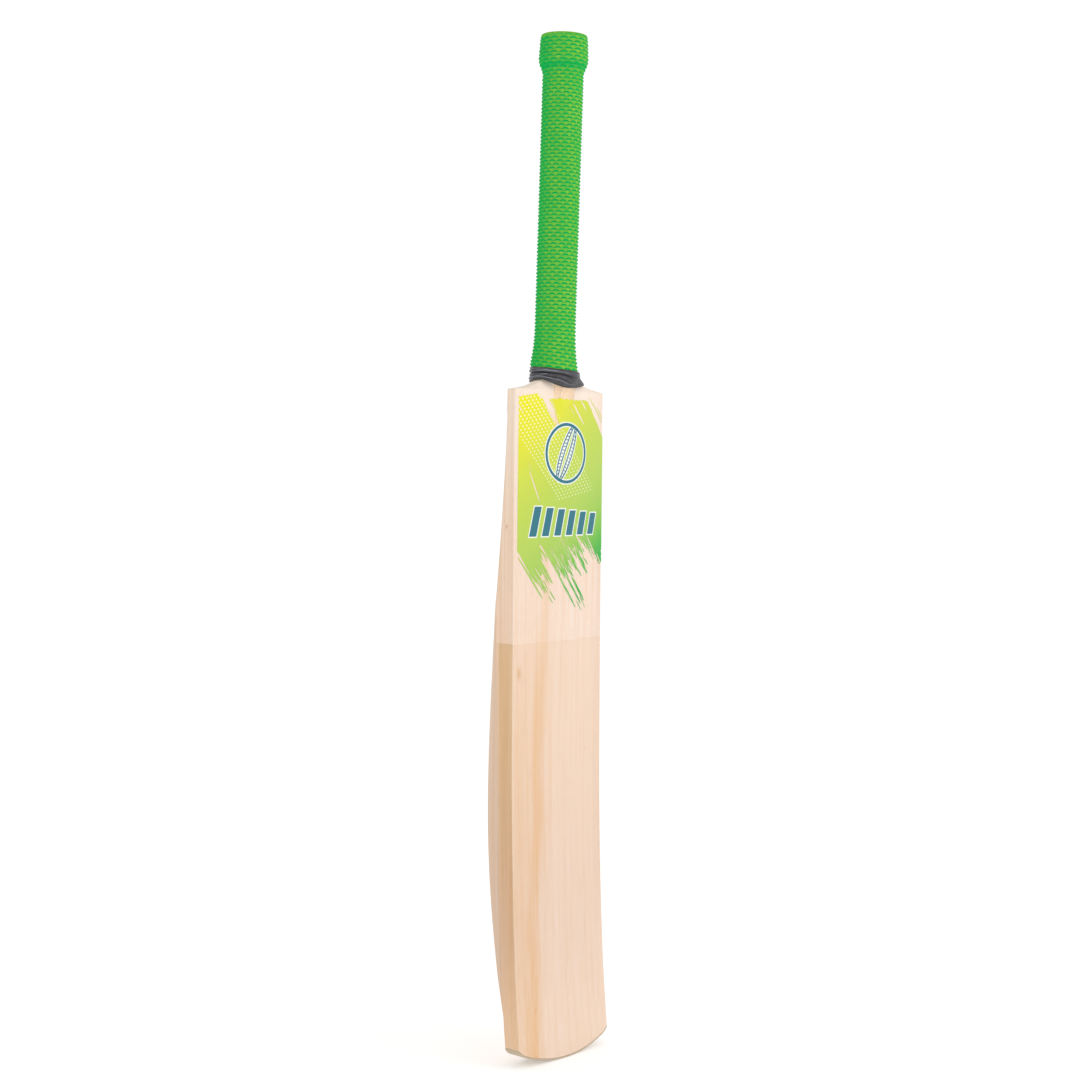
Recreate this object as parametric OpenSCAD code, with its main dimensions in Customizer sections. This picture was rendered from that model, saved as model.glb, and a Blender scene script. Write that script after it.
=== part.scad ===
// Full-size, short-handle cricket bat: a willow blade with a cane handle spliced into it.
// Frame: +Z runs up the bat and the hitting face looks towards -Y. The origin is on the
// ground, under the middle of the bat's overall width and depth. Units are millimetres.
//
// The blade lies between two height fields, front_y(x, z) and back_y(x, z). Everything
// that lies on the blade (splice, toe guard, film, decal) reads the same two fields.

/* [Blade] */
// Width of the blade
blade_w = 108; // [96:0.5:108]
// Height of the shoulders' outer corners above the toe
shoulder_z = 548.5; // [530:0.5:556]
// Height at which the back is deepest (the sweet spot)
sweet_z = 190; // [160:5:220]
// Depth from the face's corners to the spine at the sweet spot
spine_depth = 58; // [48:0.5:62]
// The same depth at the shoulders
spine_shoulder = 27; // [25:0.5:30]
// The same depth at the toe
spine_toe = 22; // [18:0.5:28]
// Softness of the spine's ridge
ridge_softness = 9; // [5:0.5:14]
// Thickness of the flat edge at the shoulders
edge_shoulder = 8; // [6:0.5:10]
// Thickness of the flat edge where it is widest, above the sweet spot
edge_swell = 19.5; // [17:0.5:22]
// Thickness of the flat edge from the sweet spot down
edge_low = 16.3; // [14:0.1:18]
// Depth that the steep flank behind the flat edge adds at the sweet spot
flank_rise = 17.8; // [10:0.1:20]
// Slope of that flank against the face
flank_angle = 70; // [60:1:80]
// Crown across the face, in the middle of the blade
face_crown = 3; // [1:0.5:5]
// Extra crown towards the shoulders
neck_crown = 1.5; // [0:0.1:2]
// How far the toe leads the lowest point of the bow
toe_lead = 8.7; // [4:0.1:12]
// How far the shoulders lead it
shoulder_lead = 3.8; // [1:0.1:6]
// Height of the lowest point of the bow
bow_z = 230; // [200:5:260]
// Radius of the rounded toe, seen from the front
toe_radius = 132; // [85:1:160]

/* [Handle and splice] */
// Length of the whole bat
bat_length = 842; // [800:1:873]
// Diameter of the cane handle
cane_d = 28.8; // [27:0.1:30]
// Diameter of the raised lip at the handle's top
lip_d = 35; // [33:0.1:36]
// Length of the lip, with its ramp
lip_len = 32.5; // [28:0.5:44]
// Forward lean of the handle, in degrees
handle_lean = 2.45; // [0:0.05:3]
// Setback of the handle's centre behind the face's corners, at the neck
handle_setback = 7.8; // [6:0.1:9]
// Width of the splice's wedge at the neck
splice_w = 26.5; // [24:0.5:40]
// Width of the wedge at its tip
splice_tip_w = 9; // [6:0.5:12]
// Length of the wedge below the neck
splice_len = 150; // [140:1:175]
// Width of the middle cane strips
strip_w = 12.8; // [12.5:0.1:14]
// Thickness of the two inner cane layers
layer_t = 6.8; // [6:0.1:7]
// Thickness of the rubber springs between the layers
spring_t = 1.3; // [0.8:0.1:1.5]

/* [Sleeves and sheets] */
// Thickness of the twine binding
twine_t = 0.7; // [0.5:0.1:1]
// Wall of the rubber grip
grip_wall = 1.8; // [1.2:0.1:2]
// Wall of the wound collar tape
tape_t = 0.9; // [0.6:0.1:1.2]
// Thickness of the toe guard
guard_t = 1.8; // [1.5:0.1:3]
// Thickness of the clear film on the face and edges
film_t = 0.35; // [0.2:0.05:0.5]
// Height of the film's upper end
film_top_z = 342; // [300:1:360]
// Thickness of the printed decal
decal_t = 0.2; // [0.15:0.05:0.3]

/* [Hidden] */

$fn = 96;
half_w = blade_w / 2;
cane_r = cane_d / 2;
neck_z = shoulder_z + 8;             // the splice's block ends here, the turned handle starts
cheek_top_z = neck_z + 3;            // the blade's cheeks end here, under the tape
tape_low_z = shoulder_z + 1.5;       // lowest point of the tape's lower rim, at the front
tape_top_z = shoulder_z + 18;
neck_flare = 4.1;                    // how much wider the handle is at its foot
flare_len = 22;                      // height over which that flare fades
slack = 0.03;                        // gap between pieces that are glued or pressed together
y_shift = -14.84;                    // puts the origin under the middle of the overall depth
skin_n = 20;                         // divisions across the face and across the back

function sq(v) = v * v;
function mix(a, b, t) = a + (b - a) * t;
function clamp01(t) = min(1, max(0, t));
function blend_in(a, b, v) = let (t = clamp01((v - a) / (b - a))) t * t * (3 - 2 * t);
function steps(a, b, n) = [for (i = [0:n - 1]) mix(a, b, i / n)];
function backwards(list) = [for (i = [len(list) - 1:-1:0]) list[i]];
// Smaller and larger of two depths, with the step between them filleted over a width of k
function soft_min(a, b, k) = min(a, b) - sq(max(k - abs(a - b), 0)) / (4 * k);
function soft_max(a, b, k) = -soft_min(-a, -b, k);

// ---- Outline and depth of the blade ------------------------------------------------

// Half width at a height: parallel sides, then shoulders that sweep in to the handle
sweep_h = 10;                        // height scale of the shoulders' sweep
sweep_floor = 10;                    // half width that the sweep tends to
function half_width(z) =
    z <= shoulder_z ? half_w
    : sweep_floor + (half_w - sweep_floor) * pow(1 + (z - shoulder_z) / sweep_h, -2);

// Y of the face's corners: the bow brings the toe and the shoulders forward
bow_power = 1.4;                     // the bow straightens a little towards the shoulders
function corner_y(z) =
    y_shift - (z < bow_z ? toe_lead * sq((bow_z - z) / bow_z)
                         : shoulder_lead * pow((z - bow_z) / (shoulder_z - bow_z), bow_power));

function crown(z) = face_crown + neck_crown * blend_in(bow_z, shoulder_z, z);

// Thickness of the flat edge: thin at the shoulders, widest above the sweet spot
swell_z = 375;
swell_end_z = 200;
swell_power = 1.5;
cheek_thinning = 2;                  // the cheeks beside the handle's foot thin by this much
cheek_fade = 15;
function edge_thickness(z) =
    let (
        above = (shoulder_z - z) / (shoulder_z - swell_z),
        below = (z - swell_end_z) / (swell_z - swell_end_z)
    )
    z > shoulder_z ? edge_shoulder - cheek_thinning * clamp01((z - shoulder_z) / cheek_fade)
    : z > swell_z ? mix(edge_shoulder, edge_swell, pow(above, swell_power))
    : z > swell_end_z ? mix(edge_low, edge_swell, sq(below))
    : edge_low;

// Depth added by the flank, which fades out above and below the sweet spot
flank_reach_up = 192;
flank_reach_down = 160;
function flank(z) =
    let (offset = z - sweet_z, reach = offset > 0 ? flank_reach_up : flank_reach_down)
    abs(offset) < reach ? flank_rise * cos(90 * offset / reach) : 0;

// Depth of the spine; above the shoulders it dives under the handle's foot
neck_dive = 8;
neck_dive_h = 12;
function spine(z) =
    let (fall = 0.5 + 0.5 * cos(180 * (z - sweet_z) / (shoulder_z - sweet_z)))
    z < sweet_z ? mix(spine_toe, spine_depth, sin(90 * max(z, 0) / sweet_z))
    : z < shoulder_z ? mix(spine_shoulder, spine_depth, fall)
    : spine_shoulder - neck_dive * clamp01((z - shoulder_z) / neck_dive_h);

// Half width of the back, between the tops of its flanks
function back_half(z) = half_width(z) - flank(z) / tan(flank_angle);

// ---- The handle's axis, and the neck that joins it to the blade ----------------------

neck_axis_y = corner_y(shoulder_z) + handle_setback;
function axis_y(z) = neck_axis_y - tan(handle_lean) * (z - neck_z);

neck_sink = 7.3;                     // the neck's radius shrinks this much as it sinks into the blade
neck_sink_h = 22;
function handle_r(rise) = cane_r + neck_flare * exp(-sq(rise / flare_len));
function neck_r(z) = handle_r(0) - neck_sink * clamp01(abs(neck_z - z) / neck_sink_h);
function neck_half(x, z) = sqrt(max(0, sq(neck_r(z)) - sq(x)));

function face_y(x, z) = corner_y(z) - crown(z) * (1 - sq(x / half_width(z)));
// A roof that falls from the spine to the flanks, its ridge softened
function softened(x) = sqrt(sq(x) + sq(ridge_softness)) - ridge_softness;
function roof_y(x, z) =
    let (rise = spine(z) - edge_thickness(z) - flank(z))
    corner_y(z) + spine(z) - rise * softened(x) / softened(back_half(z));

neck_low_z = neck_z - 26;
neck_fillet = 4;
function front_y(x, z) =
    z < neck_low_z ? face_y(x, z)
    : soft_min(face_y(x, z), axis_y(z) - neck_half(x, z), neck_fillet);
function back_y(x, z) =
    z < neck_low_z ? roof_y(x, z)
    : soft_max(roof_y(x, z), axis_y(z) + neck_half(x, z), neck_fillet);

// ---- The toe's curve, as a lift of the lowest rings ----------------------------------

toe_fade = 70;                       // height over which the toe's curve fades out
corner_round = 7;                    // how far in from each edge the toe's corners round off
corner_lift = 2.2;                   // how much higher that leaves the corners
function toe_lift(x) =
    toe_radius - sqrt(sq(toe_radius) - sq(min(abs(x), half_w)))
    + corner_lift * sq(max(0, abs(x) - half_w + corner_round) / corner_round);
function lifted(x, z) = z + toe_lift(x) * clamp01(1 - (z - guard_t) / toe_fade);

// ---- Lofted solids -------------------------------------------------------------------

// A ring has a front path and a back path of as many points, both from left to right
function ring(front, back) = concat(front, backwards(back));

// A closed solid through rings of equal length. Each end is a strip between the ring's
// two paths, so an end may be curved.
module loft(rings) {
    count = len(rings[0]);
    last = (len(rings) - 1) * count;
    sides = [
        for (r = [0:len(rings) - 2], i = [0:count - 1])
        let (a = r * count + i, b = r * count + (i + 1) % count)
        each [[a, b + count, b], [a, a + count, b + count]]
    ];
    bottom = [
        for (i = [0:count / 2 - 2])
        let (back = count - 1 - i)
        each [[i, i + 1, back], [i + 1, back - 1, back]]
    ];
    top = [for (t = bottom) [t[0] + last, t[2] + last, t[1] + last]];
    polyhedron(
        points = [for (one = rings) each one],
        faces = concat(sides, bottom, top),
        convexity = 8
    );
}

// ---- Blade ---------------------------------------------------------------------------

function skin_ring(z) =
    let (w = half_width(z), b = back_half(z), edge_back = corner_y(z) + edge_thickness(z))
    ring(
        [
            for (i = [0:skin_n + 2])
            let (x = w * (2 * i / (skin_n + 2) - 1))
            [x, front_y(x, z), lifted(x, z)]
        ],
        concat(
            [[-w, edge_back, lifted(w, z)]],
            [for (i = [0:skin_n]) let (x = b * (2 * i / skin_n - 1)) [x, back_y(x, z), lifted(x, z)]],
            [[w, edge_back, lifted(w, z)]]
        )
    );

// Heights of the blade's rings: closer together at the toe, and closest at the shoulders
blade_zs = concat(
    steps(guard_t, 50, 6),
    steps(50, 360, 15),
    steps(360, 520, 8),
    steps(520, shoulder_z, 4),
    [for (i = [0:8]) mix(shoulder_z, cheek_top_z, sq(i / 8))]
);

// Puts a shape drawn along +Z on the handle's leaning axis, with z = 0 at the neck
module on_handle_axis() {
    translate([0, neck_axis_y, neck_z])
        rotate([handle_lean, 0, 0])
            children();
}

// The V-shaped wedge of the splice, along the handle's axis and through the blade's depth
outside = 60;                        // beyond the blade's depth and the handle's radius
module wedge(gap = 0) {
    top = splice_w / 2 + gap;
    tip = splice_tip_w / 2 + gap;
    on_handle_axis()
        translate([0, outside, 0])
            rotate([90, 0, 0])
                linear_extrude(height = 2 * outside)
                    polygon([[-tip, -splice_len - gap], [tip, -splice_len - gap], [top, gap], [-top, gap]]);
}

// Radius of the turned handle above the neck: a flared foot, then a shaft, then the lip
handle_len = (bat_length - neck_z) / cos(handle_lean);
flare_end = 50;
lip_low = handle_len - lip_len;
lip_ramp = 10;
end_round = 4.5;
function turned_r(rise) =
    let (into_round = max(0, rise - handle_len + end_round))
    handle_r(rise)
    + (lip_d - cane_d) / 2 * clamp01((rise - lip_low) / lip_ramp)
    - end_round + sqrt(sq(end_round) - sq(into_round));

// The heights at which that profile bends
bends = concat(
    [for (rise = [5:5:flare_end]) rise],
    [lip_low, lip_low + lip_ramp],
    [for (angle = [0:15:90]) handle_len - end_round + end_round * sin(angle)]
);
function turned_path(extra, low, high) = [
    for (rise = concat([low], [for (bend = bends) if (bend > low && bend < high) bend], [high]))
    [turned_r(rise) + extra, rise]
];

foot_overlap = 0.5;                  // how deep the turned handle reaches into the splice's block
module turned_solid(extra) {
    rotate_extrude()
        polygon(concat(
            [[0, -foot_overlap]],
            turned_path(extra, -foot_overlap, handle_len),
            [[0, handle_len]]
        ));
}

// A sleeve of revolution on the handle, between two heights
module turned_sleeve(inside, thickness, low, high) {
    on_handle_axis()
        rotate_extrude()
            polygon(concat(
                turned_path(inside + thickness, low, high),
                backwards(turned_path(inside, low, high))
            ));
}

module blade() {
    color("#efd8bd")
        difference() {
            loft([for (z = blade_zs) skin_ring(z)]);
            wedge(slack);
            on_handle_axis()
                turned_solid(twine_t + 2 * slack);
        }
}

// ---- Cane handle and its rubber springs ------------------------------------------------

layer_1 = spring_t / 2;              // the laminate's planes, counted out from its middle
layer_2 = layer_1 + layer_t;
layer_3 = layer_2 + spring_t;

// A part of the laminate: a box in the handle's frame, from the splice's tip to the end
module cell(x0, x1, y0, y1) {
    on_handle_axis()
        translate([x0 + slack, y0 + slack, -splice_len])
            cube([x1 - x0 - 2 * slack, y1 - y0 - 2 * slack, splice_len + handle_len]);
}

// The outer layers of the splice end flush with the face or with the back
block_margin = 2;                    // the block's surfaces run on past the wedge this much
block_tip_margin = 8;
module flush_block(side) {
    reach = splice_w / 2 + block_margin / 2;
    xs = [for (i = [-4:4]) reach * i / 4];
    top_z = neck_z + block_margin;
    zs = steps(neck_z - splice_len - block_tip_margin, top_z, 12);
    loft([
        for (z = concat(zs, [top_z]))
        side < 0
            ? ring([for (x = xs) [x, front_y(x, z), z]], [for (x = xs) [x, axis_y(z), z]])
            : ring([for (x = xs) [x, axis_y(z), z]], [for (x = xs) [x, back_y(x, z), z]])
    ]);
}

// One strip of cane: its turned part above the neck and its tapered part in the splice
module cane_strip(x0, x1, y0, y1, side = 0) {
    color("#d8b277")
        intersection() {
            cell(x0, x1, y0, y1);
            union() {
                on_handle_axis()
                    turned_solid(0);
                if (side == 0)
                    wedge();
                else
                    intersection() {
                        wedge();
                        flush_block(side);
                    }
            }
        }
}

// Three strips side by side make a layer; column is -1, 0 or 1 from left to right
module cane_layer(column, y0, y1, side = 0) {
    edge = strip_w / 2;
    if (column < 0)
        cane_strip(-outside, -edge, y0, y1, side);
    else if (column > 0)
        cane_strip(edge, outside, y0, y1, side);
    else
        cane_strip(-edge, edge, y0, y1, side);
}

module cane_front(column) { cane_layer(column, -outside, -layer_3, -1); }
module cane_second(column) { cane_layer(column, -layer_2, -layer_1); }
module cane_third(column) { cane_layer(column, layer_1, layer_2); }
module cane_back(column) { cane_layer(column, layer_3, outside, 1); }

module rubber_spring(y0) {
    color("#3c3a38")
        intersection() {
            cell(-outside, outside, y0, y0 + spring_t);
            union() {
                on_handle_axis()
                    turned_solid(0);
                wedge();
            }
        }
}

// ---- Sleeves on the handle -----------------------------------------------------------------

rim_margin = 1;                      // gap in height from the grip to the tape and to the handle's end

module twine_binding() {
    color("#c9bfa6")
        turned_sleeve(slack, twine_t, slack, handle_len - end_round);
}

module rubber_grip() {
    color("#2fae55")
        turned_sleeve(
            twine_t + 2 * slack,
            grip_wall,
            tape_top_z - neck_z + rim_margin,
            handle_len - rim_margin
        );
}

// The collar's section at a height is a loop pulled tight round two shapes: an oval for the
// handle's foot, and the flat shoulders. The loop is drawn from its support distance, which
// is how far it reaches in a direction; angles count from the front.
tape_hug = 10;                       // a larger power hugs the two shapes more closely
tape_clear = 0.8;                    // room left over the wood
tape_rise = 5.6;                     // the lower rim is this much higher at the sides and the back
tape_rise_end = 40;                  // angle from the front at which it gets there
function tape_foot(z) = z > neck_z ? handle_r(z - neck_z) : neck_r(z);
function tape_depth(z, facing) =
    max(tape_foot(z), facing > 0 ? axis_y(z) - front_y(0, z) : back_y(0, z) - axis_y(z));
function tape_reach(angle, z, extra) =
    let (
        depth = z > neck_z ? tape_foot(z) + twine_t : tape_depth(z, cos(angle)) + tape_clear,
        foot = norm([(tape_foot(z) + twine_t) * sin(angle), depth * cos(angle)]),
        fore = max(0, cos(angle)) * (axis_y(z) - corner_y(z) + tape_clear),
        shoulders = (half_width(z) + tape_clear) * abs(sin(angle)) + fore
    )
    pow(pow(foot, tape_hug) + pow(shoulders, tape_hug), 1 / tape_hug) + extra;
function tape_point(angle, t, extra) =
    let (
        low = tape_low_z + tape_rise * blend_in(0, tape_rise_end, min(angle, 360 - angle)),
        z = mix(low, tape_top_z, t),
        reach = tape_reach(angle, z, extra),
        turn = (tape_reach(angle + 1, z, extra) - tape_reach(angle - 1, z, extra)) * 90 / PI
    )
    [
        reach * sin(angle) + turn * cos(angle),
        axis_y(z) - reach * cos(angle) + turn * sin(angle),
        z
    ];

module collar_tape() {
    levels = [for (i = [0:8]) i / 8];
    count = 60;
    angles = [for (i = [0:count - 1]) 360 * i / count];
    shell = [
        for (extra = [3 * slack + tape_t, 3 * slack], t = levels)
        [for (angle = angles) tape_point(angle, extra > tape_t ? t : 1 - t, extra)]
    ];
    rings = len(shell);
    color("#57565a")
        polyhedron(
            points = [for (one = shell) each one],
            faces = [
                for (r = [0:rings - 1], i = [0:count - 1])
                let (
                    a = r * count + i, b = r * count + (i + 1) % count,
                    c = ((r + 1) % rings) * count + i, d = ((r + 1) % rings) * count + (i + 1) % count
                )
                each [[a, b, c], [b, d, c]]
            ],
            convexity = 6
        );
}

// ---- Sheets on the face, and the toe guard ---------------------------------------------------

film_tilt = 0.8;                     // the film's upper end climbs towards +X, this much each side
film_low = 2.5;                      // the film stops this far above the toe guard's underside
film_wrap = 16;                      // how far the film folds back over the edges
film_zs = concat([film_low], steps(12, 50, 4), steps(50, film_top_z, 14), [film_top_z]);
sheet_gap = 0.06;

// A thin U-shaped path around the face and onto the edges, held off the wood by a distance
function wrap_path(level, off) =
    let (z = function(x) level + film_tilt * x / half_w * level / film_top_z)
    concat(
        [[-half_w - off, corner_y(level) + film_wrap, lifted(half_w, z(-half_w))]],
        [
            for (i = [0:skin_n + 2])
            let (x = half_w * (2 * i / (skin_n + 2) - 1))
            [x + sign(x) * (abs(x) == half_w ? off : 0), front_y(x, z(x)) - off, lifted(x, z(x))]
        ],
        [[half_w + off, corner_y(level) + film_wrap, lifted(half_w, z(half_w))]]
    );

module face_film() {
    color("#e9e4d0", 0.35)
        loft([
            for (level = film_zs)
            ring(wrap_path(level, sheet_gap + film_t), wrap_path(level, sheet_gap))
        ]);
}

// The decal's outline: straight sides, a top edge cut down to the right, a slanting bottom
decal_left = -50.5;
decal_right = 53;
decal_inset = 5;                     // from the shoulders down to the decal's top
decal_cut = 14;                      // how much lower the top is at the right edge
decal_cut_x = 28;                    // where that cut starts
decal_low_z = 368;                   // the brush marks end lowest near the middle
decal_low_rise = 22;                 // and this much higher at the blade's edges
decal_n = 16;
function decal_top(x) = shoulder_z - decal_inset - decal_cut * blend_in(decal_cut_x, decal_right, x);
function decal_bottom(x) = decal_low_z + decal_low_rise * sq(x / half_w);
function decal_path(t, off) = [
    for (i = [0:skin_n])
    let (x = mix(decal_left, decal_right, i / skin_n), z = mix(decal_bottom(x), decal_top(x), t))
    [x, front_y(x, z) - off, z]
];

module face_decal() {
    color("#a9d256")
        loft([
            for (i = [0:decal_n])
            ring(decal_path(i / decal_n, sheet_gap + decal_t), decal_path(i / decal_n, sheet_gap))
        ]);
}

module toe_guard() {
    color("#c8b89a")
        loft([skin_ring(0), skin_ring(guard_t - slack)]);
}

blade();
cane_front(-1);  // cane_front_left
cane_front(0);  // cane_front_middle
cane_front(1);  // cane_front_right
cane_second(-1);  // cane_second_left
cane_second(0);  // cane_second_middle
cane_second(1);  // cane_second_right
cane_third(-1);  // cane_third_left
cane_third(0);  // cane_third_middle
cane_third(1);  // cane_third_right
cane_back(-1);  // cane_back_left
cane_back(0);  // cane_back_middle
cane_back(1);  // cane_back_right
rubber_spring(-layer_3);  // rubber_spring_front
rubber_spring(-layer_1);  // rubber_spring_middle
rubber_spring(layer_2);  // rubber_spring_back
twine_binding();
rubber_grip();
collar_tape();
face_decal();
face_film();
toe_guard();
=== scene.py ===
"""Cricket bat: a willow blade with a spliced cane handle, a moulded rubber grip, a wound
collar of tape, a printed decal, a clear face film and a toe guard, standing on its toe.

Lengths below are in millimetres in the CAD frame (+Z up the bat, the face towards -Y) and
become metres in the mesh helpers.
"""

import math

import bmesh
import bpy
import numpy as np
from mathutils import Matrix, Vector


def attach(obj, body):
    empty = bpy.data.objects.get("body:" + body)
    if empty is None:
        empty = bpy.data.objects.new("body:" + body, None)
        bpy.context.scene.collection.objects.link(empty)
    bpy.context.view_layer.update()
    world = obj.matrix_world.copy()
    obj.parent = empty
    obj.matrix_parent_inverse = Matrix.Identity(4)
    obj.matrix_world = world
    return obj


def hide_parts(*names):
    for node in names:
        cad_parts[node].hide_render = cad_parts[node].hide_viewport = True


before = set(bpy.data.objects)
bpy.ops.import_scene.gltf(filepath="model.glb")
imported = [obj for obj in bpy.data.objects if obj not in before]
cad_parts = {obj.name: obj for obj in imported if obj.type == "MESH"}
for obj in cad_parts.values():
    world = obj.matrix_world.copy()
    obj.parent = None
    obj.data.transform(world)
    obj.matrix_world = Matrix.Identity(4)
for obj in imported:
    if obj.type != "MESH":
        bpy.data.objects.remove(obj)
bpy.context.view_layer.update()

# ---- The CAD part's measures ----

HALF_W = 54.0
SHOULDER_Z = 548.5
SWEEP_H, SWEEP_FLOOR = 10, 10  # height scale of the shoulders' sweep, half width it tends to
SWEET_Z = 190.0
BOW_Z = 230.0
TOE_LEAD, SHOULDER_LEAD, BOW_POWER = 8.7, 3.8, 1.4
FACE_CROWN, NECK_CROWN = 3, 1.5
SPINE_TOE, SPINE_DEPTH, SPINE_SHOULDER = 22.0, 58.0, 27.0
NECK_DIVE, NECK_DIVE_H = 8, 12  # the ridge drops this much just above the shoulders
RIDGE_SOFTNESS = 9.0
EDGE_SHOULDER, EDGE_SWELL, EDGE_LOW = 8.0, 19.5, 16.3
SWELL_Z, SWELL_END_Z, SWELL_POWER = 375, 200, 1.5
CHEEK_THINNING, CHEEK_FADE = 2, 15
FLANK_RISE, FLANK_TAN = 17.8, math.tan(math.radians(70))
FLANK_REACH_UP, FLANK_REACH_DOWN = 192.0, 160.0
TOE_RADIUS, TOE_FADE = 132, 70
CORNER_ROUND, CORNER_LIFT = 7, 2.2  # the toe's corners are rounded off this far in and up
Y_SHIFT = -14.84
NECK_Z = SHOULDER_Z + 8
NECK_LOW_Z = NECK_Z - 26  # the neck swells out of the face and the back above this
NECK_FILLET = 4
NECK_FLARE, FLARE_LEN = 4.1, 22  # how much wider the handle is at its foot
NECK_SINK, NECK_SINK_H = 7.3, 22  # the neck's radius shrinks as it sinks into the blade
CHEEK_TOP_Z = NECK_Z + 3
BAT_LENGTH = 842.0
LEAN = math.radians(2.45)
SETBACK = 7.8
CANE_R = 14.4
LIP_GROWTH = 3.1
LIP_LEN, LIP_RAMP, END_ROUND = 32.5, 10.0, 4.5
SPLICE_HALF, SPLICE_TIP_HALF, SPLICE_LEN = 13.25, 4.5, 150.0
STRIP_HALF, LAYER_T, SPRING_T = 6.4, 6.8, 1.3
OUTER_LAYER = SPRING_T / 2 + LAYER_T + SPRING_T  # depth at which the outer cane layers start
TWINE_T, GRIP_WALL, TAPE_T, GUARD_T = 0.7, 1.8, 0.9, 1.8
TAPE_LOW_Z, TAPE_TOP_Z = SHOULDER_Z + 2.0, SHOULDER_Z + 18
TAPE_HUG, TAPE_CLEAR = 10, 0.8
FILM_TOP_Z, FILM_LOW, FILM_TILT, FILM_WRAP = 342.3, 2.5, 0.8, 16.0
SLACK = 0.03
HANDLE_LEN = (BAT_LENGTH - NECK_Z) / math.cos(LEAN)
LIP_LOW = HANDLE_LEN - LIP_LEN

# The grip's lower end and the tape's upper rim dip to one side, more than in the CAD.
SLANT_DROP, SLANT, SLANT_TURN = 1.0, 2.1, math.radians(43)


def clamp01(t):
    return np.clip(t, 0.0, 1.0)


def mix(a, b, t):
    return a + (b - a) * t


def smooth(lo, hi, v):
    t = clamp01((v - lo) / (hi - lo))
    return t * t * (3 - 2 * t)


def soft_min(a, b, k):
    return np.minimum(a, b) - np.maximum(k - np.abs(a - b), 0) ** 2 / (4 * k)


def soft_max(a, b, k):
    return -soft_min(-a, -b, k)


# ---- The blade's outline and depth ----


def half_width(z):
    above = np.maximum(z - SHOULDER_Z, 0) / SWEEP_H
    sweep = SWEEP_FLOOR + (HALF_W - SWEEP_FLOOR) * (1 + above) ** -2
    return np.where(z <= SHOULDER_Z, HALF_W, sweep)


def corner_y(z):
    """The face's bowed line, at the corners between face and edges."""
    toe = TOE_LEAD * (np.maximum(BOW_Z - z, 0) / BOW_Z) ** 2
    shoulder = SHOULDER_LEAD * (np.maximum(z - BOW_Z, 0) / (SHOULDER_Z - BOW_Z)) ** BOW_POWER
    return Y_SHIFT - toe - shoulder


def edge_thickness(z):
    down = clamp01((SHOULDER_Z - z) / (SHOULDER_Z - SWELL_Z))
    up = clamp01((z - SWELL_END_Z) / (SWELL_Z - SWELL_END_Z))
    cheek = EDGE_SHOULDER - CHEEK_THINNING * clamp01((z - SHOULDER_Z) / CHEEK_FADE)
    high = mix(EDGE_SHOULDER, EDGE_SWELL, down**SWELL_POWER)
    low = mix(EDGE_LOW, EDGE_SWELL, up**2)
    return np.where(z > SHOULDER_Z, cheek, np.where(z > SWELL_Z, high, low))


def flank(z):
    """How far the steep flank runs back from the edge."""
    reach = np.where(z > SWEET_Z, FLANK_REACH_UP, FLANK_REACH_DOWN)
    offset = np.clip((z - SWEET_Z) / reach, -1, 1)
    return FLANK_RISE * np.cos(np.pi / 2 * offset)


def spine(z):
    """The depth at the ridge."""
    low = mix(SPINE_TOE, SPINE_DEPTH, np.sin(np.pi / 2 * np.clip(z / SWEET_Z, 0, 1)))
    fall = 0.5 + 0.5 * np.cos(np.pi * np.clip((z - SWEET_Z) / (SHOULDER_Z - SWEET_Z), 0, 1))
    high = mix(SPINE_SHOULDER, SPINE_DEPTH, fall)
    high -= NECK_DIVE * clamp01((z - SHOULDER_Z) / NECK_DIVE_H)
    return np.where(z < SWEET_Z, low, high)


NECK_AXIS_Y = float(corner_y(SHOULDER_Z)) + SETBACK


def axis_y(z):
    return NECK_AXIS_Y - math.tan(LEAN) * (z - NECK_Z)


def handle_r(rise):
    return CANE_R + NECK_FLARE * np.exp(-((rise / FLARE_LEN) ** 2))


def sunk_r(z):
    """Radius of the neck where it sinks into the blade."""
    return handle_r(0.0) - NECK_SINK * clamp01(np.abs(NECK_Z - z) / NECK_SINK_H)


def neck_half(x, z):
    return np.sqrt(np.maximum(0, sunk_r(z) ** 2 - x**2))


def front_y(x, z, half=None):
    half = half_width(z) if half is None else half
    crown = FACE_CROWN + NECK_CROWN * smooth(BOW_Z, SHOULDER_Z, z)
    face = corner_y(z) - crown * (1 - (x / half) ** 2)
    swell = soft_min(face, axis_y(z) - neck_half(x, z), NECK_FILLET)
    return np.where(z < NECK_LOW_Z, face, swell)


def softened(x):
    return np.sqrt(x**2 + RIDGE_SOFTNESS**2) - RIDGE_SOFTNESS


def back_y(x, z, half=None, steep=None):
    half = half_width(z) if half is None else half
    steep = flank(z) if steep is None else steep
    rise = spine(z) - edge_thickness(z) - steep
    roof = corner_y(z) + spine(z) - rise * softened(x) / softened(half - steep / FLANK_TAN)
    swell = soft_max(roof, axis_y(z) + neck_half(x, z), NECK_FILLET)
    return np.where(z < NECK_LOW_Z, roof, swell)


def slant(angle):
    """How far the tape's upper rim and the grip's lower end lie above their height in the CAD."""
    return -SLANT_DROP - SLANT * np.cos(angle - SLANT_TURN)


def lifted(x, z):
    """Heights with the toe's curve added."""
    across = np.minimum(np.abs(x), HALF_W)
    corner = np.maximum(0, across - HALF_W + CORNER_ROUND) / CORNER_ROUND
    lift = TOE_RADIUS - np.sqrt(TOE_RADIUS**2 - across**2) + CORNER_LIFT * corner**2
    return z + lift * clamp01(1 - (z - GUARD_T) / TOE_FADE)


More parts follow.
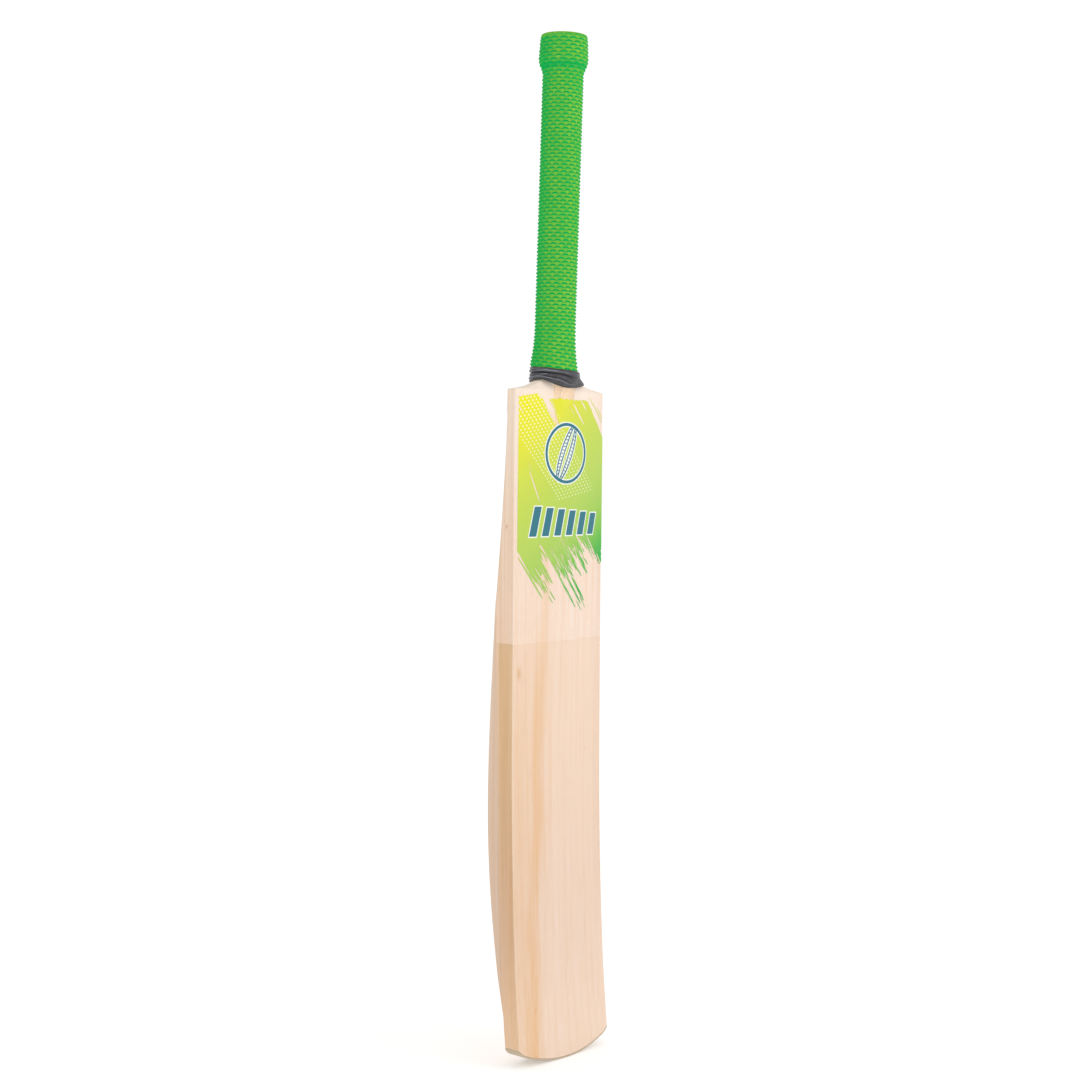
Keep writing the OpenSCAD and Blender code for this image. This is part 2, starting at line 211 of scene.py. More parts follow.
def turned_r(rise):
    """Radius of the turned cane above the neck."""
    into = np.clip(rise - HANDLE_LEN + END_ROUND, 0, END_ROUND)
    lip = LIP_GROWTH * clamp01((rise - LIP_LOW) / LIP_RAMP)
    return handle_r(np.maximum(rise, 0)) + lip - END_ROUND + np.sqrt(END_ROUND**2 - into**2)


def off_axis(x, depth, rise):
    """World points from the handle's own frame, whose origin is on the axis at the neck."""
    x, depth, rise = np.broadcast_arrays(x, depth, rise)
    c, s = math.cos(LEAN), math.sin(LEAN)
    return np.stack([x, NECK_AXIS_Y + depth * c - rise * s, NECK_Z + depth * s + rise * c], -1)


# ---- Fixed pseudo-random fields ----


def lattice(i, seed):
    v = np.sin(i * 127.1 + seed * 311.7) * 4375.85
    return v - np.floor(v)


def noise_1(v, seed):
    i = np.floor(v)
    f = v - i
    f = f * f * (3 - 2 * f)
    return mix(lattice(i, seed), lattice(i + 1, seed), f)


def noise_2(u, v, seed):
    j = np.floor(v)
    f = v - j
    f = f * f * (3 - 2 * f)
    return mix(noise_1(u, seed + 1.37 * j), noise_1(u, seed + 1.37 * (j + 1)), f)


# ---- Meshes ----

METRES = 0.001  # metres in a millimetre


def new_solid(name, points, faces, uvs=None):
    """A mesh object in metres whose faces all look outwards. uvs holds each face corner's pattern."""
    mesh = bpy.data.meshes.new(name)
    mesh.from_pydata((np.asarray(points).reshape(-1, 3) * METRES).tolist(), [], faces)
    if uvs is not None:
        layer = mesh.uv_layers.new(name="pattern")
        layer.data.foreach_set("uv", np.asarray(uvs, dtype=np.float32).ravel())
    solid = bpy.data.objects.new(name, mesh)
    bpy.context.scene.collection.objects.link(solid)
    shape = bmesh.new()
    shape.from_mesh(mesh)
    bmesh.ops.recalc_face_normals(shape, faces=shape.faces)
    shape.to_mesh(mesh)
    shape.free()
    return solid


def add_piece(name, points, faces, finish, node=None, uvs=None, sharp=35):
    """A visible solid that rides on the part and takes the place of CAD nodes."""
    piece = new_solid(name, points, faces, uvs)
    finish_mesh(piece, finish, sharp)
    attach(piece, "root")
    if node:
        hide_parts(*node)
    return piece


def finish_mesh(piece, finish, sharp):
    mesh = piece.data
    mesh.materials.clear()
    mesh.materials.append(finish)
    mesh.shade_smooth()
    mesh.set_sharp_from_angle(angle=math.radians(sharp))


def grid_faces(levels, columns, ring=True, stack=False):
    """Quads between the points of stacked paths; ring closes each path, stack joins last to first."""
    last_column = columns if ring else columns - 1
    last_level = levels if stack else levels - 1
    r, i = np.meshgrid(np.arange(last_level), np.arange(last_column), indexing="ij")
    r, i = r.ravel(), i.ravel()
    up, along = (r + 1) % levels, (i + 1) % columns
    corners = [r * columns + i, r * columns + along, up * columns + along, up * columns + i]
    return np.stack(corners, 1).tolist()


def zip_chains(points, a, b):
    """Triangles that fill the strip between two chains of point numbers, both from left to right."""
    faces, i, j = [], 0, 0
    while i < len(a) - 1 or j < len(b) - 1:
        if j == len(b) - 1 or (i < len(a) - 1 and points[a[i + 1]][0] <= points[b[j + 1]][0]):
            faces.append([a[i], a[i + 1], b[j]])
            i += 1
        else:
            faces.append([a[i], b[j + 1], b[j]])
            j += 1
    return faces


def lengths(path):
    """Length along a path up to each of its points."""
    return np.concatenate([[0], np.cumsum(np.linalg.norm(np.diff(path, axis=0), axis=1))])


def rounded(path, stations, radius, closed):
    """A dense path sampled at stations, given as lengths along it, with its corners rounded off
    by averaging the path over a window of twice the radius."""
    if closed:
        path = np.concatenate([path, path[:1]])
    seg, length = np.linalg.norm(np.diff(path, axis=0), axis=1), lengths(path)
    mids = (path[1:] + path[:-1]) / 2
    area = np.concatenate([np.zeros((1, path.shape[1])), np.cumsum(mids * seg[:, None], 0)])
    total, gain = length[-1], area[-1]

    def integral(s):
        turns = np.floor(s / total) if closed else 0 * s
        at = s - turns * total
        partial = np.stack([np.interp(at, length, area[:, k]) for k in range(path.shape[1])], 1)
        return partial + turns[:, None] * gain

    return (integral(stations + radius) - integral(stations - radius)) / (2 * radius)


def spread(n):
    """0..1 in n steps, closer together at both ends."""
    return (1 - np.cos(np.pi * np.arange(n) / n)) / 2


FRONT_N, EDGE_N, FLANK_N, BACK_N = 60, 12, 8, 60  # divisions along each part of a ring
WIDE_STEPS, EDGE_STEPS, FLANK_STEPS = 481, 61, 41  # points of the dense path that is rounded off
MIN_FLANK = 0.6
ARRIS_ROUND, SHOULDER_ROUND = 1.7, 1.3
TOE_RINGS, TOE_RINGS_Z = 30, 60


def blade_ring(z, half):
    """The blade's section at one height: points (x, y), anticlockwise seen from the front-left
    corner along the face, up the right edge, back along the spine and down the left edge."""
    steep = max(float(flank(z)), MIN_FLANK)
    back = half - steep / FLANK_TAN
    xs = np.linspace(-half, half, WIDE_STEPS)
    xb = np.linspace(back, -back, WIDE_STEPS)
    edge_back = float(corner_y(z) + edge_thickness(z))
    edge = np.linspace(float(corner_y(z)), edge_back, EDGE_STEPS)
    behind = back_y(xb, z, half, steep)
    t = np.linspace(0, 1, FLANK_STEPS)
    parts = [
        np.stack([xs, front_y(xs, z, half)], 1),
        np.stack([np.full(EDGE_STEPS, half), edge], 1),
        np.stack([mix(half, back, t), mix(edge_back, behind[0], t)], 1),
        np.stack([xb, behind], 1),
        np.stack([mix(-back, -half, t), mix(behind[-1], edge_back, t)], 1),
        np.stack([np.full(EDGE_STEPS, -half), edge[::-1]], 1),
    ]
    counts = [FRONT_N, EDGE_N, FLANK_N, BACK_N, FLANK_N, EDGE_N]
    path, stations, done = [], [], 0.0
    for part, n in zip(parts, counts):
        length = float(np.linalg.norm(np.diff(part, axis=0), axis=1).sum())
        stations.append(done + length * spread(n))
        done += length
        path.append(part[:-1])
    return rounded(np.concatenate(path), np.concatenate(stations), ARRIS_ROUND, True)


def blade_levels():
    """Heights and half widths of the blade's rings, with the shoulders' corners rounded."""
    toe = np.linspace(GUARD_T, TOE_RINGS_Z, TOE_RINGS, endpoint=False)
    middle = np.linspace(TOE_RINGS_Z, SHOULDER_Z - 4, 140, endpoint=False)
    sweep = SHOULDER_Z + 15 * np.linspace(0, 1, 300)[1:] ** 2
    z = np.concatenate([np.linspace(-10, SHOULDER_Z, 1400), sweep])
    path = np.stack([half_width(z), z], 1)
    length = lengths(path)
    bend, end = np.interp([SHOULDER_Z - 4, CHEEK_TOP_Z], z, length)
    stations = np.concatenate([
        np.interp(toe, z, length), np.interp(middle, z, length), np.linspace(bend, end, 70),
    ])
    found = rounded(path, stations, SHOULDER_ROUND, False)
    found[:TOE_RINGS, 1] = toe
    found[-1, 1] = CHEEK_TOP_Z
    return found[:, 1], found[:, 0]


def stacked_rings(sections):
    """Points, and faces with both ends closed, of rings given as pairs of flat section and height."""
    rings = [np.column_stack([flat, lifted(flat[:, 0], np.full(len(flat), z))]) for flat, z in sections]
    points = np.stack(rings)
    levels, columns = points.shape[:2]
    spots = points.reshape(-1, 3)
    faces = grid_faces(levels, columns)
    for start in (0, (levels - 1) * columns):
        front = list(range(start, start + FRONT_N + 1))
        behind = list(range(start + columns - 1, start + FRONT_N, -1))
        faces += zip_chains(spots, front, behind)
    return points, faces


def skin_faces(levels, columns):
    """Faces of a solid whose rings are an outer path and then its inner path backwards."""
    faces = grid_faces(levels, columns)
    for start in (0, (levels - 1) * columns):
        last = start + columns - 1
        faces += [[start + i, start + i + 1, last - i - 1, last - i] for i in range(columns // 2 - 1)]
    return faces


def cut_away(piece, points, faces):
    cutter = new_solid("cutter", points, faces)
    change = piece.modifiers.new("cut", "BOOLEAN")
    change.operation, change.solver, change.object = "DIFFERENCE", "EXACT", cutter
    graph = bpy.context.evaluated_depsgraph_get()
    cut = bpy.data.meshes.new_from_object(piece.evaluated_get(graph))
    piece.modifiers.clear()
    old, piece.data = piece.data, cut
    bpy.data.meshes.remove(old)
    used = cutter.data
    bpy.data.objects.remove(cutter)
    bpy.data.meshes.remove(used)


# ---- Material nodes ----


def tone(r, g, b):
    """A screen colour of 0..255 as linear light."""
    light = [v / 255 / 12.92 if v < 10.3 else ((v / 255 + 0.055) / 1.055) ** 2.4 for v in (r, g, b)]
    return (*light, 1.0)


class Num:
    """A number in a material's node tree that can be used in sums."""

    def __init__(self, shade, socket):
        self.shade, self.socket = shade, socket

    def calc(self, operation, *others):
        return self.shade.calc(operation, self, *others)

    def __add__(self, other):
        return self.calc("ADD", other)

    def __sub__(self, other):
        return self.calc("SUBTRACT", other)

    def __rsub__(self, other):
        return self.shade.calc("SUBTRACT", other, self)

    def __mul__(self, other):
        return self.calc("MULTIPLY", other)

    def __truediv__(self, other):
        return self.calc("DIVIDE", other)

    __radd__, __rmul__ = __add__, __mul__

    def step(self, lo, hi):
        """0 below lo, 1 above hi, smooth between; the other way round if lo is the larger."""
        if lo > hi:
            return 1.0 - self.step(hi, lo)
        limits = {0: self, 1: lo, 2: hi}
        made = self.shade.node("ShaderNodeMapRange", limits, interpolation_type="SMOOTHSTEP")
        return Num(self.shade, made.outputs[0])

    def near(self, centre, width):
        """A bell around a value."""
        gap = (self - centre) / width
        return (gap * gap * -1.0).calc("EXPONENT")


class Shade:
    """A material, with short calls for the nodes that its finish is made of."""

    def __init__(self, name):
        self.material = bpy.data.materials.new(name)
        self.material.use_nodes = True
        self.tree = self.material.node_tree
        self.skin = self.tree.nodes["Principled BSDF"]
        # the point's place on the part, in millimetres
        place = self.node("ShaderNodeTexCoord").outputs["Object"]
        scaled = self.node("ShaderNodeVectorMath", {0: place, "Scale": 1 / METRES}, operation="SCALE")
        self.spot = self.split(scaled.outputs[0])

    def feed(self, socket, value):
        if isinstance(value, Num):
            value = value.socket
        if isinstance(value, bpy.types.NodeSocket):
            self.tree.links.new(value, socket)
        else:
            socket.default_value = value

    def set(self, name, value):
        self.feed(self.skin.inputs[name], value)

    def node(self, kind, values=None, **settings):
        made = self.tree.nodes.new(kind)
        for key, value in settings.items():
            setattr(made, key, value)
        for key, value in (values or {}).items():
            self.feed(made.inputs[key], value)
        return made

    def calc(self, operation, *values):
        made = self.node("ShaderNodeMath", dict(enumerate(values)), operation=operation)
        return Num(self, made.outputs[0])

    def split(self, vector):
        made = self.node("ShaderNodeSeparateXYZ", {0: vector})
        return [Num(self, out) for out in made.outputs]

    def pattern(self):
        """The two numbers of the mesh's pattern map."""
        return self.split(self.node("ShaderNodeUVMap", uv_map="pattern").outputs[0])[:2]

    def noise(self, x, y, z, detail=2.0, roughness=0.5):
        spot = self.node("ShaderNodeCombineXYZ", {0: x, 1: y, 2: z}).outputs[0]
        values = {"Vector": spot, "Scale": 1.0, "Detail": detail, "Roughness": roughness}
        return Num(self, self.node("ShaderNodeTexNoise", values).outputs[0])

    def grain(self, across, up, detail=2.0, roughness=0.5):
        """Noise on the part, with this many grains in a millimetre across and up."""
        x, y, z = self.spot
        return self.noise(x * across, y * across, z * up, detail, roughness)

    def cells(self, across, up):
        x, y, z = self.spot
        spot = self.node("ShaderNodeCombineXYZ", {0: x * across, 1: y * across, 2: z * up}).outputs[0]
        made = self.node("ShaderNodeTexVoronoi", {"Vector": spot, "Scale": 1.0, "Randomness": 1.0})
        return Num(self, made.outputs["Distance"])

    def mix(self, factor, a, b):
        made = self.node("ShaderNodeMix", {0: factor, 6: a, 7: b}, data_type="RGBA")
        return made.outputs[2]

    def darken(self, colour, factor, by):
        """The colour times by, where factor is 1."""
        values = {0: factor, 6: colour, 7: by}
        made = self.node("ShaderNodeMix", values, data_type="RGBA", blend_type="MULTIPLY")
        return made.outputs[2]

    def ramp(self, factor, stops):
        made = self.node("ShaderNodeValToRGB", {0: factor})
        stones = made.color_ramp.elements
        while len(stones) < len(stops):
            stones.new(0.5)
        for stone, (at, colour) in zip(stones, stops):
            stone.position, stone.color = at, colour
        return made.outputs[0]

    def done(self, colour, height, depth, roughness, specular=0.5):
        """The material, given its colour, its bump's pattern and depth in mm, and its sheen."""
        bump = self.node("ShaderNodeBump", {"Height": height, "Distance": depth * METRES})
        self.set("Base Color", colour)
        self.set("Normal", bump.outputs[0])
        self.set("Roughness", roughness)
        self.set("Specular IOR Level", specular)
        return self.material


# ---- Finishes ----


GROWTH_LINE = 8.6  # spacing of the growth lines on the face
HEART_SLOPE, HEART_X = 0.043, -30.0  # the heartwood's dark line leans across the face
KNOTS = ((-34.0, 44.0, 0.8), (-47.0, 318.0, 2.2), (33.0, 250.0, 0.6))  # across, up, size
PIN_KNOT = (437.0, -9.0)  # a small knot in the left edge: up, depth


def willow_grain(s, fibre, strand, lines):
    """The wood's own colour, from growth lines, fibres and a darker heart on one side, with painted
    light that pales it towards the shoulders and the neck.
    """
    x, y, z = s.spot
    broad = s.grain(0.09, 0.004, 2.0)
    wander = (s.noise(z * 0.012, x * 0.01, y * 0.01, 1.0) - 0.5) * 12.0
    heart_x = x - (z - 100.0) * HEART_SLOPE - HEART_X + wander
    heart = heart_x.near(-1.0, 7.0) * 0.46 + heart_x.step(7.0, -6.0) * 0.34
    tan = heart * (0.25 + 0.75 * z.step(400.0, 260.0)) + lines * 0.16 + (broad - 0.5) * 0.5
    tan = tan + (strand - 0.5) * 0.85 + (fibre - 0.5) * 0.3 + 0.16
    face = s.ramp(tan, [
        (0.0, tone(245, 223, 208)), (0.35, tone(241, 214, 192)), (1.0, tone(235, 190, 143)),
    ])
    # painted light: the wood is paled upwards from about 400 mm towards the shoulders and the neck
    return s.mix(z.step(400.0, 556.0) * 0.55, face, tone(251, 238, 224))


def willow_edges(s, face):
    """Darker edges under the film, painted shade on the flanks and a painted highlight along the face's
    corners.
    """
    x, y, z = s.spot
    edge = x.calc("ABSOLUTE").step(52.9, 53.9) * y.step(4.0, -2.0)
    face = s.darken(face, edge * 0.2, tone(244, 230, 206))
    under_film = z.step(FILM_TOP_Z + 0.3, FILM_TOP_Z - 0.3) * (z.step(0.0, 250.0) * 0.75 + 0.25)
    face = s.darken(face, edge * under_film, tone(241, 233, 210))
    streak = s.noise(y * 0.3, x * 0.02, z * 0.005, 2.0).step(0.42, 0.58)
    face = s.darken(face, edge * streak * z.step(30.0, 230.0) * 0.5, tone(244, 236, 222))
    # slightly darker over the lower part of the blade
    darker_low = z.step(330.0, 120.0) * z.step(8.0, 110.0)
    face = s.darken(face, edge * darker_low, tone(247, 243, 244))
    face = s.darken(face, darker_low * 0.8, tone(248, 246, 247))
    normal = s.split(s.node("ShaderNodeNewGeometry").outputs["Normal"])
    sideways = normal[0].calc("ABSOLUTE")
    # painted shade: the flanks, which face sideways and back, are darkened
    behind = sideways.step(0.7, 0.85) * normal[1].step(0.12, 0.25)
    face = s.darken(face, behind, tone(237, 236, 234))
    # painted highlight: a light line along the rounded corners between the face and the edges, below
    # the shoulders
    arris_highlight = sideways.near(0.6, 0.3) * normal[1].step(-0.3, -0.5) * z.step(560.0, 545.0)
    face = s.mix(arris_highlight * 0.45, face, tone(254, 240, 224))
    right = x.step(34.0, 54.0) * z.step(80.0, 160.0)
    return s.darken(face, right, tone(250, 247, 245))


def willow_finish():
    s = Shade("willow")
    x, y, z = s.spot
    drift = s.grain(0.02, 0.0035, 1.0)
    # growth lines: soft on one side and crisp on the other
    phase = ((x + y * 0.3 + drift * 16.0) / GROWTH_LINE).calc("FRACT")
    lines = phase * phase * phase
    strand = s.grain(0.62, 0.007, 3.0, 0.6)
    fibre = s.grain(1.6, 0.02, 3.0, 0.65)
    pores = s.grain(5.0, 0.11, 2.0).step(0.62, 0.75)
    face = willow_edges(s, willow_grain(s, fibre, strand, lines))
    face = s.darken(face, pores * 0.25, tone(222, 190, 150))
    for across, up, size in KNOTS:
        knot = (x.near(across, size) * z.near(up, size * 2.2)) * y.step(0.0, -6.0)
        face = s.darken(face, knot * 0.6, tone(232, 190, 134))
    pin = z.near(PIN_KNOT[0], 1.6) * y.near(PIN_KNOT[1], 1.2) * x.step(-52.0, -53.5)
    face = s.darken(face, pin * 0.6, tone(196, 156, 112))
    height = fibre * 0.4 + strand * 0.4 + lines * 0.25 - pores * 0.5
    return s.done(face, height, 0.12, 0.4 + fibre * 0.16, 0.35)


def cane_finish():
    s = Shade("cane")
    tubes = s.cells(1.9, 0.03).step(0.45, 0.15)
    fibre = s.grain(1.1, 0.012, 3.0)
    strip = (s.spot[0].calc("ABSOLUTE") - STRIP_HALF).calc("ABSOLUTE").step(0.35, 0.1)
    colour = s.mix(fibre.step(0.3, 0.7), tone(249, 224, 196), tone(244, 208, 168))
    colour = s.darken(colour, tubes * 0.3, tone(214, 176, 128))
    colour = s.darken(colour, strip * 0.3, tone(190, 146, 98))
    return s.done(colour, fibre - tubes * 0.8 - strip, 0.15, 0.45 + tubes * 0.2)


def spring_finish():
    s = Shade("spring_rubber")
    grain = s.grain(3.0, 3.0, 3.0)
    return s.done(s.mix(grain, tone(52, 50, 49), tone(74, 71, 68)), grain, 0.1, 0.62 + grain * 0.3)


TWINE_PITCH = 1.1


def twine_finish():
    s = Shade("twine")
    x, y, z = s.spot
    turn = s.calc("ARCTAN2", y - NECK_AXIS_Y, x) / (2 * math.pi)
    phase = ((z + turn * TWINE_PITCH) / TWINE_PITCH).calc("FRACT")
    groove = (phase - 0.5) * (phase - 0.5) * 4.0
    fuzz = s.grain(4.0, 4.0, 3.0)
    colour = s.mix(fuzz, tone(226, 214, 184), tone(202, 186, 150))
    # painted shade: the twine is darkened in the grooves between its turns
    colour = s.darken(colour, groove, tone(140, 122, 92))
    return s.done(colour, fuzz * 0.3 - groove, 0.25, 0.8)


SCALE_ROW = 2.94  # height of a row of scales
SCALE_COLUMNS = 15
SCALE_PITCH = 7.1  # width of a column, on the shaft
SCALE_HALF, SCALE_THICK = 3.2, 0.74  # half the width and half the height of a scale
SCALE_ARCH, SCALE_FOOT = 1.0, 0.75  # how high it arches, and where its tips lie in its row
SCALE_BLUNT = 0.42  # a smaller power makes blunter tips
ROWS_IN_MAP = 100  # rows of scales in the pattern map's height
SHADE_SIDE = math.radians(-137.3)  # direction, from the front, of the side that painted shade turns greener
GRIP_R = 18.0


def grip_finish():
    """Dark green crescents on a lime ground, drawn from the mesh's column and row numbers, with painted
    shade that turns the ground greener on one side.
    """
    s = Shade("grip_rubber")
    u, v = s.pattern()
    columns, rows = u * float(SCALE_COLUMNS), v * float(ROWS_IN_MAP)
    row = rows.calc("FLOOR")
    up = (rows - row) * SCALE_ROW
    shift = (row * 0.5).calc("FRACT")
    along = ((columns + shift).calc("FRACT") - 0.5) * (SCALE_PITCH / SCALE_HALF)
    level = (1.0 - along * along).calc("MAXIMUM", 0.0)
    off_arch = (up - SCALE_FOOT - level * SCALE_ARCH).calc("ABSOLUTE")
    inside = (level.calc("POWER", SCALE_BLUNT) * SCALE_THICK - off_arch).step(-0.2, 0.12)
    x, y, z = s.spot
    wear = s.grain(0.12, 0.05, 2.0)
    speck = s.grain(3.0, 3.0, 2.0)
    forward = axis_y(0.0) - z * math.tan(LEAN) - y
    # painted shade: the ground turns greener towards the side that faces SHADE_SIDE
    away = ((x * math.sin(SHADE_SIDE) + forward * math.cos(SHADE_SIDE)) / GRIP_R).step(0.36, 0.9)
    ground = s.mix(wear.step(0.3, 0.7), tone(130, 201, 72), tone(106, 193, 70))
    ground = s.mix(away * 0.85, ground, tone(50, 186, 78))
    ridge = s.mix(wear.step(0.3, 0.7), tone(0, 172, 80), tone(0, 180, 86))
    colour = s.mix(inside, ground, ridge)
    colour = s.darken(colour, speck.step(0.55, 0.75) * 0.2, tone(232, 240, 228))
    step_z = NECK_Z + LIP_LOW * math.cos(LEAN)
    colour = s.mix(z.near(step_z + 5.0, 2.8) * 0.85, colour, tone(0, 178, 84))
    colour = s.mix(z.step(BAT_LENGTH - 4.0, BAT_LENGTH - 2.2) * 0.7, colour, tone(150, 206, 72))
    return s.done(colour, speck, 0.05, 0.5 + speck * 0.2, 0.03)


def tape_finish():
    """Dark grey tape with painted shade, nearly black in the creases, and painted highlights on the
    folds, both marked by the mesh's pattern map.
    """
    s = Shade("tape")
    crease_shade, light = s.pattern()
    smear = s.grain(0.22, 1.1, 3.0)
    fine = s.grain(2.0, 5.0, 3.0)
    colour = s.mix(smear.step(0.3, 0.7), tone(56, 56, 60), tone(78, 78, 83))
    # painted highlights on the folds, where the pattern map marks them
    colour = s.mix(light * (0.6 + 0.4 * smear.step(0.35, 0.6)), colour, tone(172, 174, 182))
    colour = s.darken(colour, fine.step(0.4, 0.25), tone(170, 170, 172))
    # painted shade: nearly black in the creases
    colour = s.mix(crease_shade, colour, tone(18, 17, 21))
    return s.done(colour, fine + smear, 0.12, 0.28 + smear * 0.2, 0.3)


# The brush runs down to the right: along is measured down its strokes, across from one to the next.
BRUSH_X, BRUSH_Z = 0.616, 0.788
DOT_ROW = (4.06, 0.78)  # from one dot to the next in a row, across and up the face
DOT_COLUMN = (0.08, -5.56)  # to the dot two rows below; the row between is half a step off
DOT_R = 0.8
WASH = (
    (0.0, (239, 232, 30)), (0.19, (225, 226, 60)), (0.3, (208, 220, 78)), (0.45, (192, 214, 86)),
    (0.6, (181, 210, 94)), (0.72, (163, 203, 87)), (0.83, (138, 196, 78)), (0.9, (108, 187, 70)),
    (0.98, (40, 172, 64)),
)


def along_brush(x, z):
    return x * BRUSH_X - z * BRUSH_Z


def across_brush(x, z):
    return x * BRUSH_Z + z * BRUSH_X


def dot_field(x, z, along, across):
    """How much of a dot's pale ink lies at a point: rows of dots within a slanting band."""
    field = across.step(275.0, 276.2) * across.step(320.5, 318.5)
    field = field * (along - (across - 277.0) * 0.51).step(-364.0, -365.5)
    size = DOT_R * (0.82 + 0.18 * z.step(495.0, 530.0)) * field
    area = DOT_ROW[0] * DOT_COLUMN[1] - DOT_ROW[1] * DOT_COLUMN[0]
    a = (x * DOT_COLUMN[1] - z * DOT_COLUMN[0]) / area
    b = (z * DOT_ROW[0] - x * DOT_ROW[1]) / area
    dots = []
    for shift in (0.0, 0.5):
        p = (a + shift).calc("FRACT") - 0.5
        q = (b + shift).calc("FRACT") - 0.5
        right = p * DOT_ROW[0] + q * DOT_COLUMN[0]
        up = p * DOT_ROW[1] + q * DOT_COLUMN[1]
        dots.append((size - (right * right + up * up).calc("SQRT")).step(-0.12, 0.16))
    return dots[0].calc("MAXIMUM", dots[1]) * 0.74 * field.step(0.05, 0.2)


def decal_finish():
    """A diagonal wash from yellow to green with a field of pale dots on a slanting lattice."""
    s = Shade("decal")
    x, _, z = s.spot
    along, across = along_brush(x, z), across_brush(x, z)
    bristle = s.noise(across * 0.55, along * 0.015, 1.0, 3.0, 0.6)
    wash = (575.0 - z + x * 0.76) / 215.0 + (bristle - 0.5) * 0.09
    colour = s.ramp(wash, [(at, tone(*shade)) for at, shade in WASH])
    tips = along.step(-330.0, -285.0) * across.step(222.0, 246.0)
    colour = s.mix(tips * 0.7, colour, tone(40, 176, 74))
    colour = s.mix(dot_field(x, z, along, across), colour, tone(254, 250, 218))
    # dry bristle marks at the lower end, and at the top right
    bare = s.noise(across * 2.0, along * 0.07, 4.0, 2.0).step(0.53, 0.63) * along.step(-352.0, -308.0)
    colour = s.mix(bare * across.step(292.0, 284.0) * 0.72, colour, tone(240, 226, 196))
    worn = s.noise(across * 1.1, along * 0.05, 9.0, 2.0).step(0.6, 0.7) * along.step(-424.0, -440.0)
    colour = s.mix(worn * across.step(296.0, 310.0) * 0.6, colour, tone(240, 226, 196))
    grain = s.grain(1.4, 0.05, 3.0)
    return s.done(colour, grain, 0.03, 0.3 + grain * 0.12, 0.25)


def print_finish(name, low, high):
    s = Shade(name)
    grain = s.grain(0.6, 0.6, 4.0)
    return s.done(s.mix(grain, low, high), grain, 0.02, 0.3 + grain * 0.12, 0.25)


def film_finish():
    s = Shade("film")
    x, y, z = s.spot
    ripple = s.grain(0.05, 0.02, 2.0)
    scratch = s.noise(x * 0.9 + z * 0.35, y * 0.2, z * 0.03, 2.0).step(0.66, 0.72)
    s.set("Alpha", 0.055)
    colour = s.mix(ripple, tone(240, 212, 168), tone(244, 220, 182))
    return s.done(colour, ripple, 0.3, 0.14 + scratch * 0.2)


def guard_finish():
    s = Shade("toe_guard")
    speck = s.grain(1.6, 1.6, 4.0)
    colour = s.mix(speck, tone(206, 188, 160), tone(176, 158, 134))
    colour = s.darken(colour, s.spot[2].step(0.9, 0.1) * 0.5, tone(200, 190, 170))
    return s.done(colour, speck, 0.12, 0.5 + speck * 0.25)


WILLOW, CANE, SPRING = willow_finish(), cane_finish(), spring_finish()
TWINE, RUBBER, TAPE = twine_finish(), grip_finish(), tape_finish()
DECAL, FILM, GUARD = decal_finish(), film_finish(), guard_finish()
WHITE = print_finish("print_white", tone(250, 250, 246), tone(240, 243, 238))
TEAL = print_finish("print_teal", tone(60, 124, 140), tone(50, 114, 130))

# ---- Blade ----


BOX_FACES = [[0, 1, 3, 2], [4, 6, 7, 5], [0, 4, 5, 1], [2, 3, 7, 6], [0, 2, 6, 4], [1, 5, 7, 3]]
BEYOND = 60.0  # further from the handle's axis than the blade's surfaces


def wedge_corners(gap):
    """Corners of the splice's wedge, running out through the face and the back."""
    corners = []
    for side in (-BEYOND, BEYOND):
        for half, rise in ((SPLICE_TIP_HALF + gap, -SPLICE_LEN - gap), (SPLICE_HALF + gap, gap)):
            corners += [off_axis(-half, side, rise), off_axis(half, side, rise)]
    return corners


def build_blade():
    points, faces = stacked_rings([(blade_ring(z, half), z) for z, half in zip(*blade_levels())])
    blade = add_piece("blade_body", points, faces, WILLOW, ["blade"])
    cut_away(blade, wedge_corners(SLACK), BOX_FACES)
    rises = np.concatenate([[-0.5], np.linspace(0, 40, 41)])
    angles = np.radians(np.arange(0, 360, 3))
    radius = turned_r(rises)[:, None] + TWINE_T + 2 * SLACK
    foot = off_axis(radius * np.sin(angles), -radius * np.cos(angles), rises[:, None])
    count = len(angles)
    caps = [list(range(count)), list(range((len(rises) - 1) * count, len(rises) * count))]
    cut_away(blade, foot, grid_faces(len(rises), count) + caps)
    finish_mesh(blade, WILLOW, 32)
    return blade


build_blade()

# ---- Cane strips that show on the face and on the back ----


STRIP_POINTS = 18  # across a strip


def surface_depth(x, rise, side):
    """Depth, in the handle's frame, at which the blade's face (side -1) or back (side 1) lies."""
    depth = np.full_like(x, 12.0 * side)
    for _ in range(6):
        z = NECK_Z + depth * math.sin(LEAN) + rise * math.cos(LEAN)
        y = front_y(x, z) if side < 0 else back_y(x, z)
        depth = (y - NECK_AXIS_Y + rise * math.sin(LEAN)) / math.cos(LEAN)
    return depth


